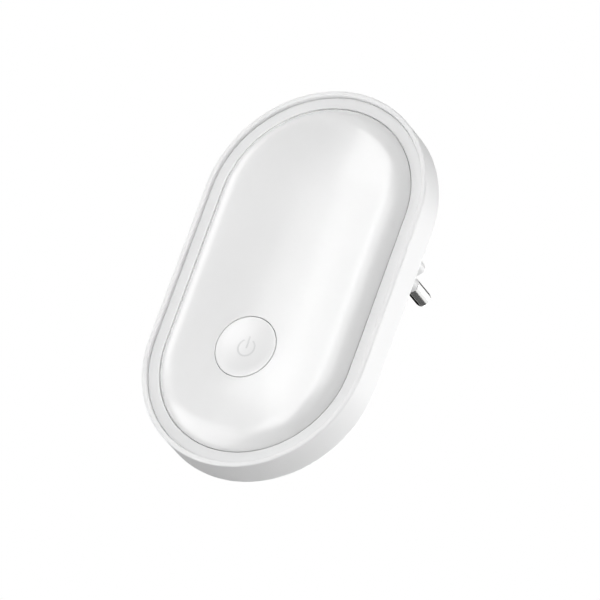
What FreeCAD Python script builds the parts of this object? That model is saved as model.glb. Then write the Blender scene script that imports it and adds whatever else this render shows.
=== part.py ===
"""Plug in night light: a stadium-shaped wall lamp with a domed opal cover, one push button and a two-pin plug.

The frame is the row's own: +Z is up, the front faces -Y, and the origin is the middle of the plug's end face,
halfway between the two pins. The lamp's own middle lies below the plug, and most pieces are drawn about it:
there x is sideways, z is up, and heights are counted forwards from the flat back of the housing.
"""

import FreeCAD, Part
import Sketcher
import math
import os

doc = FreeCAD.newDocument("plug_in_night_light")
sizes = doc.addObject("Spreadsheet::Sheet", "sizes")

# Driving dimensions, in millimetres, degrees where the note says so
DIMENSIONS = [
    ("body_width", 58.5, "housing, side to side"),
    ("body_length", 100.0, "housing, end to end"),
    ("body_depth", 9.3, "housing, flat back to front lip"),
    ("boss_depth", 22.8, "plug boss, flat back to end face"),
    ("plug_offset", 20.5, "plug above the middle of the housing"),
    ("back_wall", 2.0, "back wall of the housing"),
    ("side_wall", 2.2, "side wall of the housing below the ring seat"),
    ("lip_width", 1.3, "front lip of the housing"),
    ("lip_round", 0.45, "rounding of the front lip"),
    ("back_round", 1.1, "rounding of the back edge"),
    ("seat_height", 6.4, "ledge that carries the ring and the dome"),
    ("ring_height", 8.3, "front face of the ring"),
    ("ring_inset", 4.2, "inner edge of the ring, in from the housing's outline"),
    ("ring_fit", 0.05, "gap between the ring and the lip"),
    ("ring_edge", 0.2, "rounding of the ring's front edges"),
    ("rebate_inset", 3.2, "outer edge of the ring's rebate"),
    ("rebate_depth", 1.0, "depth of the ring's rebate"),
    ("dome_inset", 4.4, "outer wall of the dome, in from the housing's outline"),
    ("dome_edge", 8.15, "height where the dome starts to curve"),
    ("dome_wall", 1.6, "wall of the dome"),
    ("flange_inset", 3.3, "edge of the dome's flange"),
    ("flange_top", 7.35, "front face of the dome's flange"),
    ("shoulder_radius", 9.0, "round shoulder of the dome"),
    ("edge_slope", 60.0, "slope of the dome at its edge, degrees"),
    ("crown_slope", 16.0, "slope where the shoulder meets the crown, degrees"),
    ("button_offset", 21.3, "button below the middle of the housing"),
    ("button_radius", 7.72, "cap of the button"),
    ("button_hole", 7.98, "hole for the button in the dome"),
    ("button_base", 12.65, "back of the button's cap"),
    ("button_land", 0.5, "rim of the cap that follows the dome, around the dish"),
    ("button_blank", 11.0, "half the width of the blank that the cap is cut from"),
    ("button_stop", 8.6, "retaining flange behind the dome"),
    ("stop_thick", 0.6, "thickness of the retaining flange"),
    ("dish_radius", 40.0, "radius of the button's dished face"),
    ("dish_height", 14.1, "lowest point of the dished face"),
    ("skirt_radius", 6.8, "skirt that guides the button"),
    ("skirt_wall", 1.2, "wall of the skirt"),
    ("skirt_end", 9.0, "free end of the skirt"),
    ("stem_radius", 1.75, "stem that presses the switch"),
    ("stem_gap", 0.05, "gap between the stem and the plunger"),
    ("symbol_radius", 2.15, "broken ring of the power symbol, to the middle of its line"),
    ("symbol_line", 0.42, "line width of the power symbol"),
    ("symbol_gap", 36.0, "half the opening of the broken ring, degrees"),
    ("symbol_bar", 2.75, "top of the upright bar, from the ring's middle"),
    ("symbol_depth", 0.3, "depth of the inlaid symbol"),
    ("symbol_proud", 0.06, "symbol above the lowest point of the dish"),
    ("post_height", 4.2, "posts that carry the boards"),
    ("post_radius", 2.0, "radius of a post"),
    ("post_x", 21.0, "posts, from the middle line"),
    ("post_z", 12.0, "posts, from the middle"),
    ("post_root", 0.2, "how far a post starts inside the back wall"),
    ("post_room", 0.2, "room in a post below the screw's tip"),
    ("board_thick", 1.0, "thickness of the light board"),
    ("board_inset", 2.7, "edge of the light board"),
    ("sheet_thick", 0.3, "thickness of the insulating sheet"),
    ("sheet_fit", 0.3, "gap around what passes through the sheet"),
    ("tray_thick", 0.8, "floor of the reflector tray"),
    ("tray_inset", 2.4, "edge of the reflector tray"),
    ("rim_outer", 3.0, "outer edge of the tray's rim"),
    ("rim_inner", 4.7, "inner edge of the tray's rim"),
    ("collar_radius", 6.88, "bore of the collar that guides the button"),
    ("collar_wall", 1.1, "wall of the collar"),
    ("collar_top", 11.3, "front of the collar"),
    ("led_width", 2.8, "light-emitting chip, across"),
    ("led_length", 3.5, "light-emitting chip, along"),
    ("led_thick", 0.7, "thickness of a light-emitting chip"),
    ("led_path", 17.0, "chips, from the lamp's middle line"),
    ("led_step", 14.0, "spacing of the chips on the straight sides"),
    ("led_window", 0.25, "room around a chip in the tray"),
    ("screw_radius", 0.85, "screw shank"),
    ("screw_head", 1.8, "screw head"),
    ("screw_head_thick", 1.1, "thickness of a screw head"),
    ("screw_head_round", 0.4, "rounding of a screw head"),
    ("screw_slot", 0.5, "width and depth of a screw's slot"),
    ("screw_slot_end", 1.0, "end of a screw's slot, from its middle"),
    ("screw_fit", 0.15, "gap around a screw in the board and the tray"),
    ("screw_end", 1.1, "height of the screw's tip above the back"),
    ("switch_side", 6.0, "push switch, square body"),
    ("switch_height", 3.2, "push switch, body"),
    ("switch_cover", 0.25, "push switch, steel cover"),
    ("switch_top", 5.0, "push switch, board to the top of the plunger"),
    ("plunger_radius", 1.7, "plunger of the push switch"),
    ("plunger_bore", 1.8, "bore for the plunger"),
    ("plunger_length", 2.9, "length of the plunger"),
    ("plunger_well", 2.3, "depth of the bore below the cover"),
    ("plunger_round", 0.2, "rounding of the plunger's top"),
    ("plug_width", 35.3, "plug boss, tip to tip"),
    ("plug_height", 13.7, "plug boss, top to bottom"),
    ("plug_tip", 1.5, "rounding of the boss's two tips"),
    ("least_tip", 0.4, "smallest rounding of the two tips inside the boss"),
    ("plug_corner", 2.0, "rounding of the boss's other corners"),
    ("plug_round", 0.8, "rounding of the boss's end edge"),
    ("plug_wall", 1.7, "wall of the boss"),
    ("plug_end_wall", 2.2, "end wall of the boss"),
    ("pin_spacing", 19.0, "plug pins, middle to middle"),
    ("pin_radius", 2.0, "bare part of a pin"),
    ("pin_length", 19.0, "pins, proud of the end face"),
    ("pin_tip", 1.7, "rounding of a pin's end"),
    ("pin_core", 1.5, "core of a pin inside its sleeve"),
    ("pin_collar", 2.6, "collar that holds a pin from inside"),
    ("collar_thick", 1.2, "thickness of a pin's collar"),
    ("pin_tail", 8.2, "tail of a pin, behind the end face"),
    ("sleeve_radius", 1.84, "insulating sleeve of a pin"),
    ("sleeve_length", 10.0, "sleeve, proud of the end face"),
    ("carrier_thick", 3.2, "block that clamps the pins"),
    ("carrier_fit", 0.1, "gap around the pin carrier"),
    ("driver_width", 23.0, "driver board, across the boss"),
    ("driver_front", 3.2, "driver board, ahead of the housing's back"),
    ("driver_rear", 6.9, "driver board, behind the plug's end face"),
    ("driver_top", 3.0, "top of the driver board, below the pins"),
    ("driver_thick", 1.0, "thickness of the driver board"),
    ("film_x", -6.2, "film capacitor, middle, from the middle line"),
    ("film_y", -16.4, "film capacitor, middle, from the plug's end face"),
    ("film_width", 10.0, "film capacitor, across the boss"),
    ("film_length", 8.0, "film capacitor, along the boss"),
    ("film_height", 5.0, "film capacitor, height"),
    ("film_round", 0.6, "film capacitor, upper edges"),
    ("bridge_x", 2.75, "bridge rectifier, middle, from the middle line"),
    ("bridge_y", -14.7, "bridge rectifier, middle, from the plug's end face"),
    ("bridge_width", 4.7, "bridge rectifier, across the boss"),
    ("bridge_length", 3.8, "bridge rectifier, along the boss"),
    ("bridge_height", 1.5, "bridge rectifier, height"),
    ("bridge_round", 0.2, "bridge rectifier, upper edges"),
    ("chip_x", 2.85, "control chip, middle, from the middle line"),
    ("chip_y", -20.25, "control chip, middle, from the plug's end face"),
    ("chip_width", 4.9, "control chip, across the boss"),
    ("chip_length", 3.9, "control chip, along the boss"),
    ("chip_height", 1.5, "control chip, height"),
    ("chip_round", 0.2, "control chip, upper edges"),
    ("can_x", 9.2, "electrolytic capacitor, from the middle line"),
    ("can_front", -23.6, "front end of the can, from the plug's end face"),
    ("can_radius", 2.5, "can of the electrolytic capacitor"),
    ("can_length", 11.0, "length of the can"),
    ("can_gap", 0.05, "gap under the can"),
    ("can_edge", 0.3, "chamfer of the can's ends"),
    ("crimp_start", 1.6, "crimp of the can, from its front end"),
    ("crimp_step", 0.3, "each slope of the crimp, and its floor"),
    ("crimp_depth", 0.25, "depth of the crimp"),
    ("fusible_x", -6.5, "fusible resistor, middle, from the middle line"),
    ("fusible_y", -21.9, "fusible resistor, from the plug's end face"),
    ("fusible_length", 5.6, "barrel of the fusible resistor"),
    ("fusible_radius", 1.15, "barrel of the fusible resistor"),
    ("bleed_x", 3.0, "bleed resistor, middle, from the middle line"),
    ("bleed_y", -9.6, "bleed resistor, from the plug's end face"),
    ("bleed_length", 3.4, "barrel of the bleed resistor"),
    ("bleed_radius", 0.85, "barrel of the bleed resistor"),
    ("barrel_round", 0.4, "rounding of a resistor's barrel"),
    ("barrel_gap", 0.1, "gap under a resistor's barrel"),
    ("leg_radius", 0.3, "leg of a resistor"),
    ("leg_reach", 1.5, "leg, past the end of the barrel"),
    ("header_pitch", 2.54, "pins of the board header, one to the next"),
    ("header_side", 2.5, "strip of the board header, high and deep"),
    ("header_pin", 0.64, "square pin of the board header"),
    ("header_hole", 0.5, "hole for a header pin in the light board"),
    ("wire_radius", 0.6, "mains lead"),
    ("wire_start", 0.6, "straight start of a mains lead"),
    ("wire_bend", 1.6, "bend of a mains lead"),
    ("close_fit", 0.02, "gap of a close fit, on the radius"),
    ("overcut", 1.0, "how far a cut runs past what it cuts"),
]

# Shared expressions, in the sheet's own names
HALF_WIDTH = "sizes.body_width / 2"
HALF_STRAIGHT = "(sizes.body_length - sizes.body_width) / 2"
BUTTON_Z = "-sizes.button_offset"
BOARD_FRONT = "(sizes.post_height + sizes.board_thick)"
TRAY_FRONT = f"({BOARD_FRONT} + sizes.tray_thick)"
DRIVER_TOP = "-sizes.driver_top"
HEADER_Z = "(sizes.plug_offset - sizes.driver_top + sizes.header_side / 2)"

# Lengths closer than this are the same, in millimetres
SAME = 1e-4


def fill_sheet():
    """Write every driving dimension into the sheet as a plain number with a name."""
    for row, (alias, value, note) in enumerate(DIMENSIONS, 1):
        sizes.set(f"A{row}", note)
        sizes.set(f"B{row}", str(value))
        sizes.setAlias(f"B{row}", alias)
    doc.recompute()


def number(expression):
    """The value of an expression in the sheet's names."""
    return float(sizes.evalExpression(expression))


def new_body(label, at_plug=False):
    """A body drawn about the lamp's middle and flat back, or about the plug's end face."""
    body = doc.addObject("PartDesign::Body", label)
    body.Label = label
    if not at_plug:
        body.setExpression(".Placement.Base.y", "-sizes.boss_depth")
        body.setExpression(".Placement.Base.z", "-sizes.plug_offset")
    return body


def new_sketch(body, name, plane="XZ_Plane", height="0"):
    """A sketch on one of the body's own planes, moved along the plane's normal."""
    sketch = body.newObject("Sketcher::SketchObject", f"{body.Name}_{name}")
    support = [feature for feature in body.Origin.OriginFeatures if feature.Role == plane][0]
    sketch.AttachmentSupport = [(support, "")]
    sketch.MapMode = "FlatFace"
    sketch.setExpression(".AttachmentOffset.Base.z", height)
    return sketch


def pin_point(sketch, edge, end, axis, expression):
    """Hold one coordinate of a point to an expression."""
    value = number(expression)
    if abs(value) < SAME:
        line = -2 if axis == "x" else -1
        sketch.addConstraint(Sketcher.Constraint("PointOnObject", edge, end, line))
        return
    kind = "DistanceX" if axis == "x" else "DistanceY"
    index = sketch.addConstraint(Sketcher.Constraint(kind, -1, 1, edge, end, value))
    sketch.setExpression(f"Constraints[{index}]", expression)


def arc_centre(start, end, axis, value):
    """The point as far from both ends of an arc, given one of its coordinates."""
    middle = ((start[0] + end[0]) / 2, (start[1] + end[1]) / 2)
    run = (end[0] - start[0], end[1] - start[1])
    if axis == "x":
        return value, middle[1] - (value - middle[0]) * run[0] / run[1]
    return middle[0] - (value - middle[1]) * run[1] / run[0], value


def loop(sketch, corners, arcs=None):
    """Close a loop through the corners.

    An edge is a line, or an arc where arcs has its index: (coordinate of the centre that is given, its
    expression, and whether the arc turns counter-clockwise).
    """
    arcs = arcs or {}
    points = [(number(x), number(y)) for x, y in corners]
    edges = []
    for index, start in enumerate(points):
        end = points[(index + 1) % len(points)]
        if index not in arcs:
            edge = Part.LineSegment(FreeCAD.Vector(*start, 0), FreeCAD.Vector(*end, 0))
            edges.append((sketch.addGeometry(edge, False), 1, 2))
            continue
        axis, expression, left_turn = arcs[index]
        centre = arc_centre(start, end, axis, number(expression))
        circle = Part.Circle()
        circle.Center = FreeCAD.Vector(*centre, 0)
        circle.Radius = math.dist(centre, start)
        first, last = (start, end) if left_turn else (end, start)
        low = math.atan2(first[1] - centre[1], first[0] - centre[0])
        high = math.atan2(last[1] - centre[1], last[0] - centre[0])
        if high <= low:
            high += 2 * math.pi
        edge = sketch.addGeometry(Part.ArcOfCircle(circle, low, high), False)
        edges.append((edge, 1, 2) if left_turn else (edge, 2, 1))
    for index, (edge, start_end, _) in enumerate(edges):
        before, _, before_end = edges[index - 1]
        sketch.addConstraint(Sketcher.Constraint("Coincident", before, before_end, edge, start_end))
        pin_point(sketch, edge, start_end, "x", corners[index][0])
        pin_point(sketch, edge, start_end, "y", corners[index][1])
    for index, (axis, expression, _) in arcs.items():
        pin_point(sketch, edges[index][0], 3, axis, expression)


def circle(sketch, x, y, radius):
    """A circle with its middle and radius held to expressions."""
    middle = FreeCAD.Vector(number(x), number(y), 0)
    edge = sketch.addGeometry(Part.Circle(middle, FreeCAD.Vector(0, 0, 1), number(radius)), False)
    pin_point(sketch, edge, 3, "x", x)
    pin_point(sketch, edge, 3, "y", y)
    index = sketch.addConstraint(Sketcher.Constraint("Radius", edge, number(radius)))
    sketch.setExpression(f"Constraints[{index}]", radius)


def box_outline(sketch, left, right, low, high):
    """An upright rectangle."""
    loop(sketch, [(right, high), (left, high), (left, low), (right, low)])


def turned_box(sketch, x, y, width, length, turn):
    """A rectangle about a point, turned by a number of degrees."""
    corners = []
    for side, end in ((1, 1), (-1, 1), (-1, -1), (1, -1)):
        across = f"({side} * ({width}) / 2)"
        along = f"({end} * ({length}) / 2)"
        corners.append((
            f"{x} + {across} * cos({turn} deg) - {along} * sin({turn} deg)",
            f"{y} + {across} * sin({turn} deg) + {along} * cos({turn} deg)",
        ))
    loop(sketch, corners)


def stadium(sketch, inset):
    """The lamp's outline, drawn in from the housing's own."""
    radius = f"({HALF_WIDTH} - {inset})"
    top = HALF_STRAIGHT
    low = f"-{HALF_STRAIGHT}"
    corners = [(radius, top), (f"-{radius}", top), (f"-{radius}", low), (radius, low)]
    loop(sketch, corners, {0: ("y", top, True), 2: ("y", low, True)})


def plug_outline(sketch, inset):
    """The flat hexagon of a two-pin plug: slanted ends at 45 degrees and two rounded tips."""
    middle = "(sizes.plug_width / 2 - sizes.plug_tip)"
    radius = f"max(sizes.plug_tip - {inset}; sizes.least_tip)"
    pull = f"({inset} + {radius} - sizes.plug_tip) * sqrt(2)"
    tip_x = f"({middle} - {pull} + {radius} * cos(45 deg))"
    tip_y = f"({radius} * sin(45 deg))"
    top = f"(sizes.plug_height / 2 - {inset})"
    flat = f"({tip_x} - {top} + {tip_y})"
    corners = [
        (tip_x, tip_y), (flat, top), (f"-{flat}", top), (f"-{tip_x}", tip_y),
        (f"-{tip_x}", f"-{tip_y}"), (f"-{flat}", f"-{top}"), (flat, f"-{top}"), (tip_x, f"-{tip_y}"),
    ]
    loop(sketch, corners, {3: ("x", f"-({tip_x} - {tip_y})", True), 7: ("x", f"{tip_x} - {tip_y}", True)})


def pad(body, sketch, length, backwards=False, both_ways=False):
    """Add the sketch's outline, forwards unless told otherwise."""
    feature = body.newObject("PartDesign::Pad", f"{sketch.Name}_pad")
    feature.Profile = sketch
    feature.SideType = "Symmetric" if both_ways else "One side"
    feature.Reversed = backwards
    feature.setExpression("Length", length)
    doc.recompute()
    return feature


def pocket(body, sketch, length, forwards=False):
    """Cut the sketch's outline away, backwards unless told otherwise, and check that it cuts."""
    before = body.Shape.Volume
    feature = body.newObject("PartDesign::Pocket", f"{sketch.Name}_pocket")
    feature.Profile = sketch
    feature.Reversed = forwards
    feature.setExpression("Length", length)
    doc.recompute()
    if body.Shape.Volume >= before:
        raise RuntimeError(f"{feature.Name} cuts nothing")
    return feature


def revolve(body, sketch, degrees=360, backwards=False):
    """Turn the sketch about its own upright axis."""
    feature = body.newObject("PartDesign::Revolution", f"{sketch.Name}_turn")
    feature.Profile = sketch
    feature.ReferenceAxis = (sketch, ["V_Axis"])
    feature.Angle = degrees
    feature.Reversed = backwards
    doc.recompute()
    return feature


def groove(body, sketch):
    """Cut the sketch away all the way round its own upright axis."""
    before = body.Shape.Volume
    feature = body.newObject("PartDesign::Groove", f"{sketch.Name}_groove")
    feature.Profile = sketch
    feature.ReferenceAxis = (sketch, ["V_Axis"])
    feature.Angle = 360
    doc.recompute()
    if body.Shape.Volume >= before:
        raise RuntimeError(f"{feature.Name} cuts nothing")
    return feature


def mirror(body, originals, plane):
    """Mirror features in one of the body's own planes."""
    support = [feature for feature in body.Origin.OriginFeatures if feature.Role == plane][0]
    feature = body.newObject("PartDesign::Mirrored", f"{body.Name}_mirror")
    feature.Originals = originals
    feature.MirrorPlane = (support, [""])
    body.Tip = feature
    doc.recompute()
    return feature


def fillet(body, base, radius, wanted):
    """Round the edges of a feature that the test picks."""
    names = []
    for index, edge in enumerate(base.Shape.Edges, 1):
        if wanted(edge):
            names.append(f"Edge{index}")
    if not names:
        raise RuntimeError(f"{body.Name} has no edge to round")
    feature = body.newObject("PartDesign::Fillet", f"{body.Name}_round")
    feature.Base = (base, names)
    feature.setExpression("Radius", radius)
    doc.recompute()
    return feature


def flat_at(edge, y):
    """Whether an edge lies in the plane at this y, in the body's own frame."""
    box = edge.BoundBox
    return abs(box.YMin - y) < SAME and abs(box.YMax - y) < SAME


def post_places():
    """The four posts, as expressions of x and z."""
    places = []
    for side in ("", "-"):
        for end in ("", "-"):
            places.append((f"{side}sizes.post_x", f"{end}sizes.post_z"))
    return places


def led_places():
    """The twelve chips, as expressions of x and z and a turn in degrees."""
    places = []
    for side in ("", "-"):
        for step in (-1, 0, 1):
            places.append((f"{side}sizes.led_path", f"{step} * sizes.led_step", 0))
    for end in (1, -1):
        for angle in (45, 90, 135):
            x = f"sizes.led_path * cos({angle} deg)"
            z = f"{end} * ({HALF_STRAIGHT} + sizes.led_path * sin({angle} deg))"
            places.append((x, z, end * angle))
    return places


def make_rear_housing():
    """Back shell: flat back, straight side wall with a thin front lip, a ledge, four posts, the plug boss."""
    body = new_body("rear_housing")
    outline = new_sketch(body, "outline")
    stadium(outline, "0")
    pad(body, outline, "sizes.body_depth")

    seat = new_sketch(body, "seat", height="sizes.body_depth")
    stadium(seat, "sizes.lip_width")
    pocket(body, seat, "sizes.body_depth - sizes.seat_height")

    hollow = new_sketch(body, "hollow", height="sizes.seat_height")
    stadium(hollow, "sizes.side_wall")
    shell = pocket(body, hollow, "sizes.seat_height - sizes.back_wall")

    front = number("-sizes.body_depth")
    lip = fillet(body, shell, "sizes.lip_round", lambda edge: flat_at(edge, front))
    fillet(body, lip, "sizes.back_round", lambda edge: flat_at(edge, 0))

    boss = new_sketch(body, "boss")
    plug_outline_in_lamp(boss, "0")
    boss_pad = pad(body, boss, "sizes.boss_depth", backwards=True)
    end_face = number("sizes.boss_depth")
    tip_x = number("sizes.plug_width / 2 - sizes.plug_tip")
    corners = fillet(body, boss_pad, "sizes.plug_corner", lambda edge: (
        abs(edge.BoundBox.YLength - end_face) < SAME and abs(edge.BoundBox.XMax) < tip_x
    ))
    fillet(body, corners, "sizes.plug_round", lambda edge: flat_at(edge, end_face))

    well = new_sketch(body, "well", height="sizes.back_wall")
    plug_outline_in_lamp(well, "sizes.plug_wall")
    pocket(body, well, "sizes.back_wall + sizes.boss_depth - sizes.plug_end_wall")

    holes = new_sketch(body, "pin_holes", height="-sizes.boss_depth + sizes.plug_end_wall + sizes.overcut")
    hole_radius = "sizes.sleeve_radius + sizes.close_fit"
    for side in ("", "-"):
        circle(holes, f"{side}sizes.pin_spacing / 2", "sizes.plug_offset", hole_radius)
    pocket(body, holes, "sizes.plug_end_wall + 2 * sizes.overcut")

    posts = new_sketch(body, "posts", height="sizes.back_wall - sizes.post_root")
    for x, z in post_places():
        circle(posts, x, z, "sizes.post_radius")
    pad(body, posts, "sizes.post_height - sizes.back_wall + sizes.post_root")

    bores = new_sketch(body, "post_bores", height="sizes.post_height")
    for x, z in post_places():
        circle(bores, x, z, "sizes.screw_radius + sizes.close_fit")
    pocket(body, bores, "sizes.post_height - sizes.screw_end + sizes.post_room")
    return body


def plug_outline_in_lamp(sketch, inset):
    """The plug's outline, drawn in the lamp's own frame."""
    sketch.setExpression(".AttachmentOffset.Base.y", "sizes.plug_offset")
    plug_outline(sketch, inset)


def make_halo_ring():
    """Light-coloured ring between the lip and the dome, with a rebate that holds the dome's flange down."""
    body = new_body("halo_ring")
    outline = new_sketch(body, "outline", height="sizes.seat_height")
    stadium(outline, "(sizes.lip_width + sizes.ring_fit)")
    stadium(outline, "sizes.ring_inset")
    ring = pad(body, outline, "sizes.ring_height - sizes.seat_height")
    front = number("-sizes.ring_height")
    fillet(body, ring, "sizes.ring_edge", lambda edge: flat_at(edge, front))
    rebate = new_sketch(body, "rebate", height="sizes.seat_height")
    stadium(rebate, "sizes.rebate_inset")
    pocket(body, rebate, "sizes.rebate_depth", forwards=True)
    return body


def dome_section(inset):
    """Expressions for the dome's section, drawn in by an inset: shoulder start, shoulder end and crown."""
    edge = "(sizes.edge_slope * 1 deg)"
    crown = "(sizes.crown_slope * 1 deg)"
    outer = f"({HALF_WIDTH} - sizes.dome_inset)"
    turn_x = f"({outer} - sizes.shoulder_radius * sin({edge}))"
    turn_y = f"(sizes.dome_edge - sizes.shoulder_radius * cos({edge}))"
    radius = f"(sizes.shoulder_radius - {inset})"
    start = (f"({turn_x} + {radius} * sin({edge}))", f"({turn_y} + {radius} * cos({edge}))")
    end = (f"({turn_x} + {radius} * sin({crown}))", f"({turn_y} + {radius} * cos({crown}))")
    crown_middle = f"({turn_y} - {turn_x} / tan({crown}))"
    crown_radius = f"({turn_x} / sin({crown}) + {radius})"
    return {
        "start": start,
        "end": end,
        "turn": turn_y,
        "peak": f"({crown_middle} + {crown_radius})",
        "crown_middle": crown_middle,
        "crown_radius": crown_radius,
    }


def make_diffuser_dome():
    """Opal cover: a pillow-shaped shell with a flange at its foot and a round hole for the button."""
    body = new_body("diffuser_dome")
    outer = dome_section("0")
    inner = dome_section("sizes.dome_wall")
    wall = f"({HALF_WIDTH} - sizes.dome_inset)"
    flange = f"({HALF_WIDTH} - sizes.flange_inset)"
    half = [
        (outer["end"][0], outer["end"][1]),
        (outer["start"][0], outer["start"][1]),
        (wall, "sizes.flange_top"),
        (flange, "sizes.flange_top"),
        (flange, "sizes.seat_height"),
        (inner["start"][0], "sizes.seat_height"),
        (inner["start"][0], inner["start"][1]),
        (inner["end"][0], inner["end"][1]),
    ]
    count = len(half)
    right = [(x, f"-({y})") for x, y in half]
    left = [(f"-({x})", f"-({y})") for x, y in reversed(half)]

    whole = new_sketch(body, "section", plane="XY_Plane")
    loop(whole, right + left, {
        0: ("y", f"-({outer['turn']})", True),
        6: ("y", f"-({inner['turn']})", False),
        7: ("y", f"-({inner['crown_middle']})", False),
        8: ("y", f"-({inner['turn']})", False),
        14: ("y", f"-({outer['turn']})", True),
        15: ("y", f"-({outer['crown_middle']})", True),
    })
    straight = pad(body, whole, f"2 * {HALF_STRAIGHT}", both_ways=True)

    end = new_sketch(body, "end_section", plane="XY_Plane", height=HALF_STRAIGHT)
    corners = [("0", f"-({outer['peak']})")] + right + [("0", f"-({inner['peak']})")]
    loop(end, corners, {
        0: ("x", "0", True),
        1: ("y", f"-({outer['turn']})", True),
        7: ("y", f"-({inner['turn']})", False),
        count: ("x", "0", False),
    })
    top = revolve(body, end, degrees=180, backwards=True)
    mirror(body, [top], "XY_Plane")

    hole = new_sketch(body, "button_hole", height="sizes.button_base - sizes.overcut")
    circle(hole, "0", BUTTON_Z, "sizes.button_hole")
    pocket(body, hole, f"{outer['peak']} - sizes.button_base + 2 * sizes.overcut", forwards=True)
    return body


def button_blank(body):
    """Blank for the button's cap: a solid with the dome's crown in front and a flat back."""
    outer = dome_section("0")
    floor = "sizes.button_base"
    half_span = "sizes.button_blank"
    side = (half_span, f"({outer['crown_middle']} + sqrt(({outer['crown_radius']})^2 - ({half_span})^2))")
    lower_end = f"-{HALF_STRAIGHT}"
    whole = new_sketch(body, "crown", plane="XY_Plane", height=lower_end)
    loop(whole, [
        (side[0], f"-({side[1]})"), (side[0], f"-{floor}"),
        (f"-{side[0]}", f"-{floor}"), (f"-{side[0]}", f"-({side[1]})"),
    ], {3: ("y", f"-({outer['crown_middle']})", True)})
    pad(body, whole, half_span)
    end = new_sketch(body, "crown_end", plane="XY_Plane", height=lower_end)
    loop(end, [
        ("0", f"-({outer['peak']})"), (side[0], f"-({side[1]})"), (side[0], f"-{floor}"), ("0", f"-{floor}"),
    ], {0: ("x", "0", True)})
    revolve(body, end, degrees=180)


def make_power_button():
    """Round push cap, flush with the dome and slightly dished, with a stop flange, a guide skirt and a stem."""
    body = new_body("power_button")
    button_blank(body)

    past_crown = f"({dome_section('0')['peak']} + sizes.overcut)"
    trim = new_sketch(body, "trim", height=past_crown)
    past_blank = "(2 * sizes.button_blank)"
    box_outline(trim, f"-{past_blank}", past_blank, f"{BUTTON_Z} - {past_blank}", f"{BUTTON_Z} + {past_blank}")
    circle(trim, "0", BUTTON_Z, "sizes.button_radius")
    pocket(body, trim, f"{past_crown} - sizes.button_base + sizes.overcut")

    dish = new_sketch(body, "dish", plane="XY_Plane", height=BUTTON_Z)
    rim = "(sizes.button_radius - sizes.button_land)"
    rim_y = f"(sizes.dish_height + sizes.dish_radius - sqrt(sizes.dish_radius^2 - {rim}^2))"
    loop(dish, [
        ("0", "-sizes.dish_height"), (rim, f"-{rim_y}"), (rim, f"-{past_crown}"), ("0", f"-{past_crown}"),
    ], {0: ("x", "0", False)})
    groove(body, dish)

    stop = new_sketch(body, "stop", height="sizes.button_base - sizes.stop_thick")
    circle(stop, "0", BUTTON_Z, "sizes.button_stop")
    pad(body, stop, "sizes.stop_thick")

    skirt = new_sketch(body, "skirt", height="sizes.skirt_end")
    circle(skirt, "0", BUTTON_Z, "sizes.skirt_radius")
    circle(skirt, "0", BUTTON_Z, "sizes.skirt_radius - sizes.skirt_wall")
    pad(body, skirt, "sizes.button_base - sizes.stop_thick - sizes.skirt_end")

    stem_end = f"({BOARD_FRONT} + sizes.switch_top + sizes.stem_gap)"
    stem = new_sketch(body, "stem", height=stem_end)
    circle(stem, "0", BUTTON_Z, "sizes.stem_radius")
    pad(body, stem, f"sizes.button_base - sizes.stop_thick - {stem_end}")

    bed = new_sketch(body, "symbol_bed", height="sizes.dish_height + sizes.overcut")
    symbol_outline(bed)
    pocket(body, bed, "sizes.overcut + sizes.symbol_depth")
    return body


def symbol_outline(sketch):
    """A broken ring with an upright bar in its opening, about the button's middle."""
    outer = "(sizes.symbol_radius + sizes.symbol_line / 2)"
    inner = "(sizes.symbol_radius - sizes.symbol_line / 2)"
    angle = "(sizes.symbol_gap * 1 deg)"
    corners = []
    for radius, side in ((outer, "-"), (outer, ""), (inner, ""), (inner, "-")):
        corners.append((f"{side}{radius} * sin({angle})", f"{BUTTON_Z} + {radius} * cos({angle})"))
    loop(sketch, corners, {0: ("y", BUTTON_Z, True), 2: ("y", BUTTON_Z, False)})
    half_line = "sizes.symbol_line / 2"
    box_outline(sketch, f"-{half_line}", half_line, BUTTON_Z, f"{BUTTON_Z} + sizes.symbol_bar")


def make_power_symbol():
    """Inlaid mark in the button's face: two flat pieces."""
    body = new_body("power_symbol")
    outline = new_sketch(body, "outline", height="sizes.dish_height - sizes.symbol_depth")
    symbol_outline(outline)
    pad(body, outline, "sizes.symbol_depth + sizes.symbol_proud")
    return body


def make_reflector_tray():
    """White tray under the dome: windows for the chips, a rim under the dome, a collar for the button."""
    body = new_body("reflector_tray")
    floor = new_sketch(body, "floor", height=BOARD_FRONT)
    stadium(floor, "sizes.tray_inset")
    pad(body, floor, "sizes.tray_thick")

    rim = new_sketch(body, "rim", height=TRAY_FRONT)
    stadium(rim, "sizes.rim_outer")
    stadium(rim, "sizes.rim_inner")
    pad(body, rim, f"sizes.seat_height - {TRAY_FRONT}")

    collar = new_sketch(body, "collar", height=TRAY_FRONT)
    circle(collar, "0", BUTTON_Z, "sizes.collar_radius + sizes.collar_wall")
    pad(body, collar, f"sizes.collar_top - {TRAY_FRONT}")

    bore = new_sketch(body, "collar_bore", height="sizes.collar_top")
    circle(bore, "0", BUTTON_Z, "sizes.collar_radius")
    pocket(body, bore, f"sizes.collar_top - {BOARD_FRONT}")

    windows = new_sketch(body, "windows", height=TRAY_FRONT)
    for x, z, turn in led_places():
        width = "sizes.led_width + 2 * sizes.led_window"
        length = "sizes.led_length + 2 * sizes.led_window"
        turned_box(windows, x, z, width, length, turn)
    for x, z in post_places():
        circle(windows, x, z, "sizes.screw_radius + sizes.screw_fit")
    pocket(body, windows, "sizes.tray_thick")
    return body


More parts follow.
